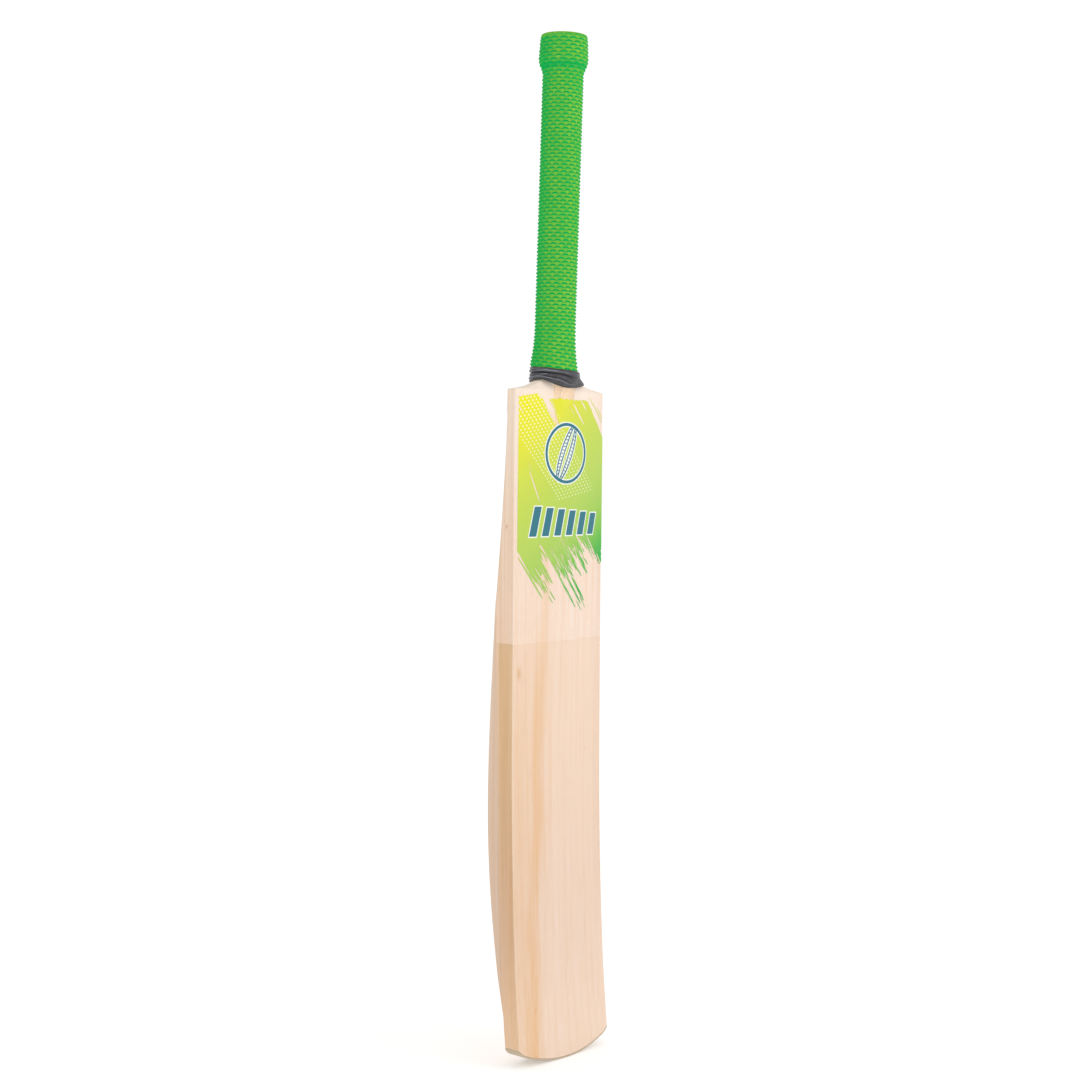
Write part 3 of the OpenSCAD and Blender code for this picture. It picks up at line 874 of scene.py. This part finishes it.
def build_strip(name, node, column, side):
    """A strip of the front or back cane layer, from the splice's tip to the handle's end."""
    plane = (OUTER_LAYER + SLACK) * side
    inner, outer = STRIP_HALF + SLACK, STRIP_HALF - SLACK
    tip_half = inner + 0.4 if column else SPLICE_TIP_HALF
    slope = (SPLICE_HALF - SPLICE_TIP_HALF) / SPLICE_LEN
    tip_rise = (tip_half - SPLICE_HALF) / slope
    rises = np.concatenate([
        np.linspace(tip_rise, -0.02, 70),
        np.linspace(0.0, 50, 26),
        np.linspace(52, LIP_LOW, 20),
        np.linspace(LIP_LOW + 1, LIP_LOW + LIP_RAMP, 8),
        HANDLE_LEN - END_ROUND + END_ROUND * np.sin(np.linspace(0, np.pi / 2 * 0.999, 10)),
    ])
    rings = []
    for rise in rises:
        if rise < 0:
            reach = SPLICE_HALF + slope * rise
        else:
            reach = math.sqrt(max(float(turned_r(rise)) ** 2 - plane**2, 0.01))
        middle = min(reach, outer)
        lo, hi = {-1: (-reach, -inner), 0: (-middle, middle), 1: (inner, reach)}[column]
        x = np.linspace(lo, max(hi, lo + 0.05), STRIP_POINTS)
        if rise < 0:
            depth = surface_depth(x, rise, side)
        else:
            depth = side * np.sqrt(np.maximum(float(turned_r(rise)) ** 2 - x**2, 0))
        depth = side * np.maximum(side * depth, side * plane + 0.02)
        rings.append(np.concatenate([off_axis(x, depth, rise), off_axis(x[::-1], plane, rise)]))
    points = np.stack(rings)
    faces = skin_faces(*points.shape[:2])
    add_piece(name, points, faces, CANE, [node], sharp=40)


for row, side in (("front", -1), ("back", 1)):
    for label, column in (("left", -1), ("middle", 0), ("right", 1)):
        build_strip(f"strip_{row}_{label}", f"cane_{row}_{label}", column, side)

HIDDEN_FINISHES = {"cane_second": CANE, "cane_third": CANE, "rubber_spring": SPRING, "twine": TWINE}
for label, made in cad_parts.items():
    for start, finish in HIDDEN_FINISHES.items():
        if label.startswith(start):
            for slot in made.material_slots:
                slot.material = finish

# ---- Grip ----


SCALE_H, SCALE_SINK = 0.95, 0.75  # height of a scale, and depth of its ground below the wall
GRIP_AROUND, RINGS_PER_ROW = 180, 6


def scale_relief(columns, rows):
    """Height of the moulded scales above the sleeve, from column and row numbers."""
    row = np.floor(rows)
    up = (rows - row) * SCALE_ROW
    along = ((columns + 0.5 * (row % 2)) % 1.0 - 0.5) * SCALE_PITCH / SCALE_HALF
    level = np.maximum(1 - along**2, 0)
    body = level**SCALE_BLUNT * SCALE_THICK - np.abs(up - SCALE_FOOT - level * SCALE_ARCH)
    return SCALE_H * smooth(-0.35, 0.5, body)


def grip_profile(low, high):
    """Radius, rise and share of relief of each ring: up the outside, over the rim, down the bore."""
    inside = TWINE_T + 2 * SLACK
    rises = np.arange(low + 0.6, high - 0.4, SCALE_ROW / RINGS_PER_ROW)
    skirt = 0.45 * smooth(LIP_LOW, LIP_LOW + 7, rises) * (1 - 2 * smooth(LIP_LOW + 8, high, rises))
    # the rubber is thicker where it covers the cane's rounded end
    lip_r = turned_r(LIP_LOW + LIP_RAMP)
    skirt += 0.6 * (lip_r - turned_r(np.maximum(rises, LIP_LOW + LIP_RAMP)))
    sleeve = turned_r(rises) + skirt + inside + GRIP_WALL - SCALE_SINK
    levels = list(zip(sleeve, rises, np.ones(len(rises))))
    rim_r, half_wall, rim_h = float(turned_r(high)) + inside, (GRIP_WALL + 0.9) / 2, 0.9
    for t in math.pi * np.linspace(0.1, 1, 8):
        radius = rim_r + half_wall + (half_wall - 0.2) * math.cos(t)
        levels.append((radius, high - rim_h + rim_h * math.sin(t), 0.0))
    for start, end, count in ((high - 1, LIP_LOW, 12), (LIP_LOW - 10, low + 0.3, 14)):
        bore = np.linspace(start, end, count)
        levels += [(float(turned_r(rise)) + inside + 0.01, rise, 0.0) for rise in bore]
    foot_r = float(turned_r(low)) + inside
    return levels + [(foot_r + 0.3, low, 0.0), (foot_r + GRIP_WALL - 0.7, low, 0.0)], rises[-1]


def build_grip():
    low, high = TAPE_TOP_Z - NECK_Z + 1, HANDLE_LEN - 1
    levels, last = grip_profile(low, high)
    turns = np.arange(GRIP_AROUND) / GRIP_AROUND
    angle = turns * 2 * math.pi
    row_of = np.array([(rise - low) / SCALE_ROW for _, rise, _ in levels])
    top_row = (last - low) / SCALE_ROW
    rings = []
    for (radius, rise, relief), rows in zip(levels, row_of):
        fade = smooth(0.0, 0.8, rows) * smooth(top_row, top_row - 0.6, rows)
        reach = radius + relief * fade * scale_relief(turns * SCALE_COLUMNS, rows)
        dip = slant(angle) * smooth(40.0, 0.0, rise - low)
        rings.append(off_axis(reach * np.sin(angle), -reach * np.cos(angle), rise + dip))
    points = np.stack(rings)
    count = len(levels)
    level, column = np.meshgrid(np.arange(count), np.arange(GRIP_AROUND), indexing="ij")
    level, column = level.ravel(), column.ravel()
    above = (level + 1) % count
    u = np.stack([column, column + 1, column + 1, column], 1) / GRIP_AROUND
    v = np.stack([row_of[level], row_of[level], row_of[above], row_of[above]], 1) / ROWS_IN_MAP
    faces, pattern = grid_faces(count, GRIP_AROUND, True, True), np.stack([u, v], -1)
    add_piece("grip_sleeve", points, faces, RUBBER, ["rubber_grip"], pattern, 60)


build_grip()

# ---- Collar tape ----


TAPE_AROUND, TAPE_UP, TAPE_DOWN = 420, 64, 14
FRONT_SAG = (0.0107, 0.0059)  # how steeply the lower rim climbs to the left and to the right
BEHIND = (math.radians(80), math.radians(110))  # where the front's rim passes into the one behind


def tape_foot(z):
    return np.where(z > NECK_Z, handle_r(np.maximum(z - NECK_Z, 0)), sunk_r(z))


def tape_reach(angle, z):
    """How far the loop pulled tight round the foot and the shoulders reaches in a direction."""
    foot = tape_foot(z)
    fore, aft = axis_y(z) - front_y(0.0, z), back_y(0.0, z) - axis_y(z)
    depth = np.maximum(foot, np.where(np.cos(angle) > 0, fore, aft)) + TAPE_CLEAR
    depth = np.where(z > NECK_Z, foot + TWINE_T, depth)
    oval = np.hypot((foot + TWINE_T) * np.sin(angle), depth * np.cos(angle))
    shoulders = (half_width(z) + TAPE_CLEAR) * np.abs(np.sin(angle))
    shoulders = shoulders + np.maximum(0, np.cos(angle)) * (axis_y(z) - corner_y(z) + TAPE_CLEAR)
    return (oval**TAPE_HUG + shoulders**TAPE_HUG) ** (1 / TAPE_HUG)


def tape_spot(angle, z, extra):
    """Point of the loop that touches a tangent seen from this direction."""
    step = math.radians(1)
    reach = tape_reach(angle, z) + extra
    turn = (tape_reach(angle + step, z) - tape_reach(angle - step, z)) / (2 * step)
    x = reach * np.sin(angle) + turn * np.cos(angle)
    y = axis_y(z) - reach * np.cos(angle) + turn * np.sin(angle)
    return np.stack([x, y, z], -1)


def tape_low(angle):
    """Height of the lower rim: it sags between the shoulders in front, and is flatter behind."""
    behind = smooth(*BEHIND, np.abs(angle))
    lo, hi = np.full(len(angle), SHOULDER_Z), np.full(len(angle), SHOULDER_Z + 12)
    for _ in range(24):
        z = (lo + hi) / 2
        x = tape_spot(angle, z, TAPE_T)[:, 0]
        front = TAPE_LOW_Z + np.where(x < 0, *FRONT_SAG) * x**2
        above = z > mix(front, NECK_Z - 0.2, behind)
        lo, hi = np.where(above, lo, z), np.where(above, z, hi)
    return (lo + hi) / 2


def tape_angles(count):
    """Angles at which the loop's points lie evenly spaced round the collar."""
    fine = np.linspace(-math.pi, math.pi, 7201)
    spots = tape_spot(fine, np.full(len(fine), SHOULDER_Z + 7.0), 0.0)[:, :2]
    length = lengths(spots)
    return np.interp(np.arange(count) / count * length[-1], length, fine)


def tape_folds(angle, t):
    """Turns, overlaps and wrinkles of the wound tape: extra thickness, painted shade in the creases and
    along the rims, and painted highlights on the folds.
    """
    turn = (angle + 0.82) / (math.pi / 2)

    def spot(centre, width, place=0.0, spread=9.0):
        return np.exp(-(((t - centre) / width) ** 2) - ((turn - place) / spread) ** 2)

    left = np.exp(-(((turn + 0.85) / 0.7) ** 2))
    wave = np.sin(2 * math.pi * (t * 4.2 + 0.9 * noise_2(angle * 2.2 + 9, t * 2.5, 3)))
    first = 0.6 + 0.03 * np.sin(3 * turn)
    upper = spot(first, 0.06) * smooth(1.2, 0.3, turn)
    lower = spot(0.3 - 0.05 * turn, 0.04, 0.05, 0.45)
    extra = 0.5 * smooth(first - 0.05, first + 0.04, t) - 0.6 * upper - 0.35 * lower
    extra += 0.38 * wave * left
    extra += 0.45 * (noise_2(angle * 3.5 + 5, t * 7.0, 8) - 0.5)
    # painted shade: near black in the creases, in the troughs of the wrinkles on the left and along
    # both rims
    crease_shade = 1.1 * upper + 0.7 * lower + 0.6 * left * smooth(-0.3, -1.0, wave)
    crease_shade += 0.6 * smooth(0.955, 0.99, t) + 0.5 * smooth(0.05, 0.01, t)
    # painted highlights: pale marks on the folds and on the crests of the wrinkles on the left
    light = 0.7 * spot(0.8, 0.06, -0.15, 0.45)
    light += spot(0.43 + 0.12 * np.sin(4 * turn + 1.2), 0.055, -0.28, 0.22)
    light += 0.5 * spot(0.22 - 0.05 * turn, 0.035, 0.1, 0.4) + 0.3 * left * smooth(0.4, 1.0, wave)
    return extra, clamp01(crease_shade), clamp01(light)


def build_tape():
    angles = tape_angles(TAPE_AROUND)
    low, high = tape_low(angles), TAPE_TOP_Z + 0.8 + slant(angles)
    rings, marks = [], []
    for t in np.linspace(0, 1, TAPE_UP):
        rim = 0.35 * (1 - smooth(0, 0.06, t)) + 0.3 * smooth(0.95, 1.0, t)
        extra, crease_shade, light = tape_folds(angles, np.full(TAPE_AROUND, t))
        rings.append(tape_spot(angles, mix(low, high, t), 3 * SLACK + TAPE_T + extra - rim))
        # the pattern map carries the painted shade and the painted highlights
        marks.append(np.stack([crease_shade, light], -1))
    for t in np.linspace(1, 0, TAPE_DOWN):
        rings.append(tape_spot(angles, mix(low, high, t), 3 * SLACK))
        marks.append(np.zeros((TAPE_AROUND, 2)))
    points, marks = np.stack(rings), np.stack(marks).reshape(-1, 2)
    faces = grid_faces(len(rings), TAPE_AROUND, True, True)
    add_piece("tape_collar", points, faces, TAPE, ["collar_tape"], marks[np.array(faces)], 60)


build_tape()

# ---- Printed sheets on the face ----


def ink_sheet(name, ink, box, step, low, high, finish, node=None):
    """A thin closed sheet wherever ink(x, z) is above zero, between two distances off the face."""
    x0, x1, z0, z1 = box
    xs, zs = np.arange(x0, x1 + step, step), np.arange(z0, z1 + step, step)
    gx, gz = np.meshgrid(xs, zs, indexing="ij")
    value = ink(gx, gz)
    value[[0, -1], :] = value[:, [0, -1]] = -1.0
    inside = value > 0
    number, spots = {}, []

    def numbered(key, i, j, k, m, t):
        """Number of the point at t on the way between two corners of the grid."""
        if key not in number:
            number[key] = len(spots)
            spots.append((mix(xs[i], xs[k], t), mix(zs[j], zs[m], t)))
        return number[key]

    def crossing(here, after):
        a, b = value[here], value[after]
        t = min(max(a / (a - b), 0.02), 0.98)
        return numbered(frozenset((here, after)), *here, *after, t)

    faces = []
    some = inside[:-1, :-1] | inside[1:, :-1] | inside[1:, 1:] | inside[:-1, 1:]
    for i, j in zip(*np.nonzero(some)):
        around = [(i, j), (i + 1, j), (i + 1, j + 1), (i, j + 1)]
        loop = []
        for k in range(4):
            here, after = around[k], around[(k + 1) % 4]
            if inside[here]:
                loop.append(numbered(here, *here, *here, 0.0))
            if inside[here] != inside[after]:
                loop.append(crossing(here, after))
        faces.append(loop)
    spots = np.array(spots)
    flat = np.column_stack([spots[:, 0], front_y(spots[:, 0], spots[:, 1]), spots[:, 1]])
    shape = bmesh.new()
    verts = [shape.verts.new(p) for p in flat]
    for loop in faces:
        shape.faces.new([verts[k] for k in loop])
    parts = {"verts": shape.verts[:], "edges": shape.edges[:]}
    bmesh.ops.dissolve_limit(shape, angle_limit=math.radians(0.8), **parts)
    bmesh.ops.triangulate(shape, faces=shape.faces[:])
    shape.verts.ensure_lookup_table()
    shape.verts.index_update()
    base = np.array([v.co[:] for v in shape.verts])
    tops = [[v.index for v in f.verts] for f in shape.faces]
    rim = []
    for edge in shape.edges:
        if len(edge.link_faces) == 1:
            a, b = edge.verts[0].index, edge.verts[1].index
            loop = [v.index for v in edge.link_faces[0].verts]
            if loop[(loop.index(a) + 1) % len(loop)] != b:
                a, b = b, a
            rim.append((a, b))
    shape.free()
    n = len(base)
    shift = np.array([0, 1.0, 0])
    points = np.concatenate([base - shift * high, base - shift * low])
    solid = tops + [[k + n for k in reversed(f)] for f in tops]
    solid += [[b, a, a + n, b + n] for a, b in rim]
    return add_piece(name, points, solid, finish, node, sharp=50)


# Where the brush's strokes end: position across them, and along them.
BRUSH_ENDS = np.array([
    (215.5, -335), (217.5, -322), (219.5, -314), (221, -315), (224, -312), (226, -319), (229, -317),
    (231, -311), (232.3, -313), (233.3, -333), (236, -334), (238, -331), (240, -333), (240.7, -309),
    (243, -310), (246, -309), (247.5, -304), (249.5, -304), (251, -307), (255, -304), (259, -306),
    (261.5, -303), (263, -298), (263.8, -306), (264.6, -314), (267, -313), (268.3, -306), (269.5, -295),
    (271, -295), (272.5, -302), (275, -301), (276.5, -307), (278, -311), (282.5, -309), (283.6, -305),
    (284.2, -294), (286, -294), (288, -290), (290, -285), (300, -270),
])


def ends_at(q):
    """How far down each line of the brush reaches, measured along its direction."""
    rough = (noise_1(q * 0.9, 4) - 0.6) * 4 + (noise_1(q * 2.1, 6) - 0.62) * 9
    return np.interp(q, BRUSH_ENDS[:, 0], BRUSH_ENDS[:, 1]) + rough * smooth(292, 288, q)


def lens(s, q, s0, s1, q0, q1, half):
    """Positive in a thin streak between two points, pointed at both ends."""
    t = (s - s0) / (s1 - s0)
    body = 4 * t * (1 - t)
    width = half * np.sqrt(np.maximum(body, 0)) - np.where(body < 0, 5.0, 0.0)
    return width - np.abs(q - mix(q0, q1, t))


# Thin streaks without ink and thin strokes of their own: along from and to, across from and to, and
# half the width.
BARE_STREAKS = (
    (-404.5, -375.8, 266.8, 259.8, 0.7), (-419, -394, 340.4, 341.6, 0.85),
    (-420, -407, 334.7, 337, 0.35), (-414, -402, 350.6, 351.2, 0.7), (-437, -423, 320.9, 319.2, 0.45),
    (-440, -404, 312.2, 311.5, 0.35), (-324, -298, 270.8, 266.2, 0.8), (-328, -306, 277.8, 280.2, 0.9),
    (-319, -297, 288.9, 288.7, 0.6), (-346, -326, 262, 261.2, 0.35), (-340, -316, 247.5, 246.8, 0.35),
    (-334, -318, 227, 227.4, 0.35), (-330, -314, 253, 252.5, 0.4), (-318, -306, 257.5, 258, 0.35),
    (-413, -398, 269.5, 268.8, 0.25), (-334, -315, 220, 220.4, 0.4), (-338, -317, 223.6, 224.1, 0.45),
    (-332, -311, 229.4, 230, 0.45), (-326, -313, 218.4, 218.8, 0.35), (-326, -307, 244, 244.6, 0.4),
    (-322, -305, 259.5, 260.1, 0.35), (-316, -302, 255.2, 255.7, 0.4), (-346, -331, 236.5, 236.2, 0.35),
    (-322, -310, 265.8, 265.2, 0.4), (-318, -304, 250.6, 250.9, 0.4), (-316, -303, 273.2, 273.8, 0.4),
    (-308, -296, 286.6, 286.9, 0.35),
)
LONE_STROKES = (
    (-356, -311, 214.8, 215, 0.8), (-318, -279.5, 240.9, 241.3, 0.95),
    (-312, -277.5, 247.9, 248.5, 0.95), (-304, -277, 252.9, 253.2, 1.35),
    (-309, -295.5, 262.6, 263.1, 0.6), (-318, -292, 270.2, 270.5, 1.5), (-284, -272, 245.5, 246, 0.4),
    (-284, -270.5, 251.3, 250.9, 0.4), (-312, -301, 225, 225.6, 0.5), (-305, -297, 275.3, 275.6, 0.4),
    (-402, -380, 362.6, 363.4, 0.4), (-396, -382, 365.2, 366, 0.35), (-409, -399, 361.3, 361.9, 0.3),
    (-310, -300, 221.6, 222, 0.35),
)


def brush_ink(x, z):
    s, q = along_brush(x, z), across_brush(x, z)
    end = ends_at(q)
    sides = np.minimum(x + 50.4, 53.5 - x)
    top = mix(541.6 + 0.18 * np.minimum(x + 51, 19), 541.3, smooth(-31, -27, x))
    top = top + 1.0 * (noise_1(q * 0.55, 12) - 0.5) + 1.3 * (noise_1(q * 1.6, 15) - 0.5)
    ink = np.minimum(sides, top - z)
    ink = np.minimum(ink, (end - s) * 0.3)
    ink = np.minimum(ink, q - 217.3 + 0.04 * (s + 358) - 0.6 * (noise_1(s * 0.2, 2) - 0.5))
    ink = np.minimum(ink, 357.2 + 0.8 * (noise_1(s * 0.12, 21) - 0.5) - q)
    # the bare strip between the two bands at the top
    gap = 2.9 * smooth(-404, -428, s) - np.abs(q - 316.2 + 0.05 * (s + 440))
    ink = np.minimum(ink, np.maximum(-gap, s + 404))
    # dry bristle marks, more open towards the lower end and at the top
    dry = smooth(-30, -1, s - end)
    marks = noise_2(s / 12, q * 1.25, 31) * 0.6 + noise_2(s / 5, q * 2.6, 37) * 0.4
    ink = np.minimum(ink, (0.92 - 0.34 * dry - marks) * 3)
    dry_top = smooth(-434, -455, s)
    marks = noise_2(s / 9, q * 0.9, 41)
    ink = np.minimum(ink, (1.04 - 0.26 * dry_top - marks) * 3)
    for streak in BARE_STREAKS:
        ink = np.minimum(ink, -lens(s, q, *streak))
    for streak in LONE_STROKES:
        ink = np.maximum(ink, np.minimum(lens(s, q, *streak), sides))
    return ink


PRINT_RIM = 0.95  # width of the white line round the print
BALL_X, BALL_Z, BALL_R = 3.5, 497.0, 25.0
BALL_TURN = math.radians(-24)
LINE_HALF, SEAM_HALF = 1.25, 0.6  # half the width of the ring, and of the seam's lines
STITCH_STEP, STITCH_HALF = 3.1, 0.42


def ball_ink(x, z):
    """A generic ball: a ring with a stitched seam across it."""
    dx, dz = x - BALL_X, z - BALL_Z
    u = dx * math.cos(BALL_TURN) + dz * math.sin(BALL_TURN)
    v = dz * math.cos(BALL_TURN) - dx * math.sin(BALL_TURN)
    away = np.hypot(u, v)
    ink = LINE_HALF - np.abs(away - BALL_R + LINE_HALF)
    level = np.sqrt(np.maximum(1 - (v / BALL_R) ** 2, 0.0))
    for seam in (2.6, 6.6):
        for side in (-1, 1):
            line = SEAM_HALF - np.abs(u - side * seam * level)
            ink = np.maximum(ink, np.minimum(line, BALL_R - 1 - away))
    steps = (v + 0.5 * np.abs(u)) / STITCH_STEP
    stitch = STITCH_HALF - np.abs(steps - np.round(steps)) * STITCH_STEP
    band = np.minimum(np.abs(u) - 3.6 * level, 5.6 * level - np.abs(u))
    return np.maximum(ink, np.minimum(np.minimum(stitch, band), BALL_R - 2.5 - away))


BARS, BAR_HALF, BAR_STEP, BAR_LEAN = 6, 3.9, 14.0, 0.24
BAR_X, BAR_MID_Z = -31.5, 441  # middle of the first bar


def bars_ink(x, z):
    """Six plain slanting bars that shorten to the right."""
    ink = np.full_like(x, -9.0)
    for k in range(BARS):
        low, high = 428.6 + 0.25 * k, 453.0 - 1.1 * k
        middle = BAR_X + BAR_STEP * k + BAR_LEAN * (z - BAR_MID_Z)
        ink = np.maximum(ink, np.minimum(BAR_HALF - np.abs(x - middle), np.minimum(z - low, high - z)))
    return ink


def widened(shape):
    return lambda x, z: shape(x, z) + PRINT_RIM


ink_sheet("decal_wash", brush_ink, (-52, 55, 352, 548), 0.5, 0.06, 0.12, DECAL, ["face_decal"])
PRINTS = (("ball", ball_ink, (-24, 31, 469, 525)), ("bars", bars_ink, (-41, 52, 425, 458)))
for label, shape, box in PRINTS:
    ink_sheet(f"print_{label}_outline", widened(shape), box, 0.4, 0.13, 0.16, WHITE)
    ink_sheet(f"print_{label}_ink", shape, box, 0.4, 0.17, 0.2, TEAL)

# ---- Film and toe guard ----


def wrap_stations():
    """The ring's points from the left edge's rear, round the face, to the right edge's rear."""
    total = 2 * (EDGE_N + FLANK_N) + FRONT_N + BACK_N
    left = list(range(total - EDGE_N, total))
    return left + list(range(0, FRONT_N + EDGE_N + 1))


def offset_ring(z, half, gap):
    """The blade's section, moved outwards by the gap."""
    ring = blade_ring(z, half)
    before, after = np.roll(ring, 1, 0), np.roll(ring, -1, 0)
    along = after - before
    along /= np.maximum(np.linalg.norm(along, axis=1), 1e-6)[:, None]
    return ring + np.stack([along[:, 1], -along[:, 0]], 1) * gap


FILM_GAPS = (0.28, 0.06)  # how far the film's outside and inside lie off the wood


def build_film():
    keep = wrap_stations()
    rings = []
    toe = np.linspace(FILM_LOW, TOE_RINGS_Z, 22, endpoint=False)
    for level in np.concatenate([toe, np.linspace(TOE_RINGS_Z, FILM_TOP_Z, 90)]):
        loop = []
        for gap in FILM_GAPS:
            flat = offset_ring(level, HALF_W, gap)[keep]
            x, y = flat[:, 0], flat[:, 1]
            y = np.minimum(y, float(corner_y(level)) + FILM_WRAP)
            tilt = FILM_TILT * x / HALF_W * level / FILM_TOP_Z
            z = level + tilt
            y = y + corner_y(z) - corner_y(level)
            path = np.column_stack([x, y, lifted(x, z)])
            loop.append(path if gap == FILM_GAPS[0] else path[::-1])
        rings.append(np.concatenate(loop))
    points = np.stack(rings)
    faces = skin_faces(*points.shape[:2])
    add_piece("film_sheet", points, faces, FILM, ["face_film"])


# The strip's edge, rounded above and below: height, and how far out from the blade's outline.
GUARD_PROFILE = (
    (0.0, -0.9), (0.12, -0.35), (0.4, -0.05), (0.8, 0.1), (1.3, 0.12), (1.66, 0.02),
    (GUARD_T - SLACK, -0.2),
)


def build_guard():
    points, faces = stacked_rings([(offset_ring(z, HALF_W, gap), z) for z, gap in GUARD_PROFILE])
    add_piece("toe_strip", points, faces, GUARD, ["toe_guard"])


build_film()
build_guard()

# ---- Floor, light and camera ----


FLOOR_HALF = 40.0  # metres
FLOOR_GREY = (0.93, 0.93, 0.93, 1.0)
FLOOR_GLOW = 0.27  # keeps the floor as pale as the backdrop
WORLD_LIGHT, WORLD_SEEN = 0.84, 1.02  # strength of the white world as a light and as a backdrop

# The photo's view: the camera stands at the face's left and looks level at the bat.
VIEW_YAW = math.radians(47.3)
VIEW_AWAY, VIEW_HEIGHT = 1.561231, 0.463406  # metres
VIEW_LENS, SENSOR = 62.498433, 36.0  # millimetres
VIEW_SHIFT = (-0.00356667, -0.04269537)  # of the frame's side


def floor_finish():
    s = Shade("floor")
    for name, value in (
        ("Base Color", FLOOR_GREY), ("Emission Color", FLOOR_GREY), ("Emission Strength", FLOOR_GLOW),
        ("Roughness", 0.9), ("Specular IOR Level", 0.0),
    ):
        s.set(name, value)
    return s.material


def build_stage():
    mesh = bpy.data.meshes.new("floor")
    corners = [(x * FLOOR_HALF, y * FLOOR_HALF, 0) for x, y in ((-1, -1), (1, -1), (1, 1), (-1, 1))]
    mesh.from_pydata(corners, [], [(0, 1, 2, 3)])
    floor = bpy.data.objects.new("floor", mesh)
    mesh.materials.append(floor_finish())
    bpy.context.scene.collection.objects.link(floor)


def add_light(name, spot, aim, size, power):
    lamp = bpy.data.lights.new(name, "AREA")
    lamp.shape, lamp.size, lamp.energy = "DISK", size, power
    made = bpy.data.objects.new(name, lamp)
    made.location = spot
    made.rotation_euler = (Vector(aim) - Vector(spot)).to_track_quat("-Z", "Y").to_euler()
    bpy.context.scene.collection.objects.link(made)


def build_view():
    scene = bpy.context.scene
    world = bpy.data.worlds.new("studio")
    world.use_nodes = True
    backdrop = world.node_tree.nodes["Background"]
    backdrop.inputs[0].default_value = (1, 1, 1, 1)
    seen = world.node_tree.nodes.new("ShaderNodeLightPath").outputs["Is Camera Ray"]
    level = world.node_tree.nodes.new("ShaderNodeMapRange")
    level.inputs["To Min"].default_value = WORLD_LIGHT
    level.inputs["To Max"].default_value = WORLD_SEEN
    world.node_tree.links.new(seen, level.inputs[0])
    world.node_tree.links.new(level.outputs[0], backdrop.inputs[1])
    scene.world = world
    scene.view_settings.view_transform = "Standard"
    add_light("key", (0.9, -2.2, 1.9), (0, 0, 0.4), 1.6, 11)
    lens = bpy.data.cameras.new("camera")
    lens.sensor_width, lens.lens = SENSOR, VIEW_LENS
    lens.shift_x, lens.shift_y = VIEW_SHIFT
    camera = bpy.data.objects.new("camera", lens)
    camera.location = (-VIEW_AWAY * math.sin(VIEW_YAW), -VIEW_AWAY * math.cos(VIEW_YAW), VIEW_HEIGHT)
    camera.rotation_euler = (math.pi / 2, 0, -VIEW_YAW)
    scene.collection.objects.link(camera)
    scene.camera = camera


build_stage()
build_view()
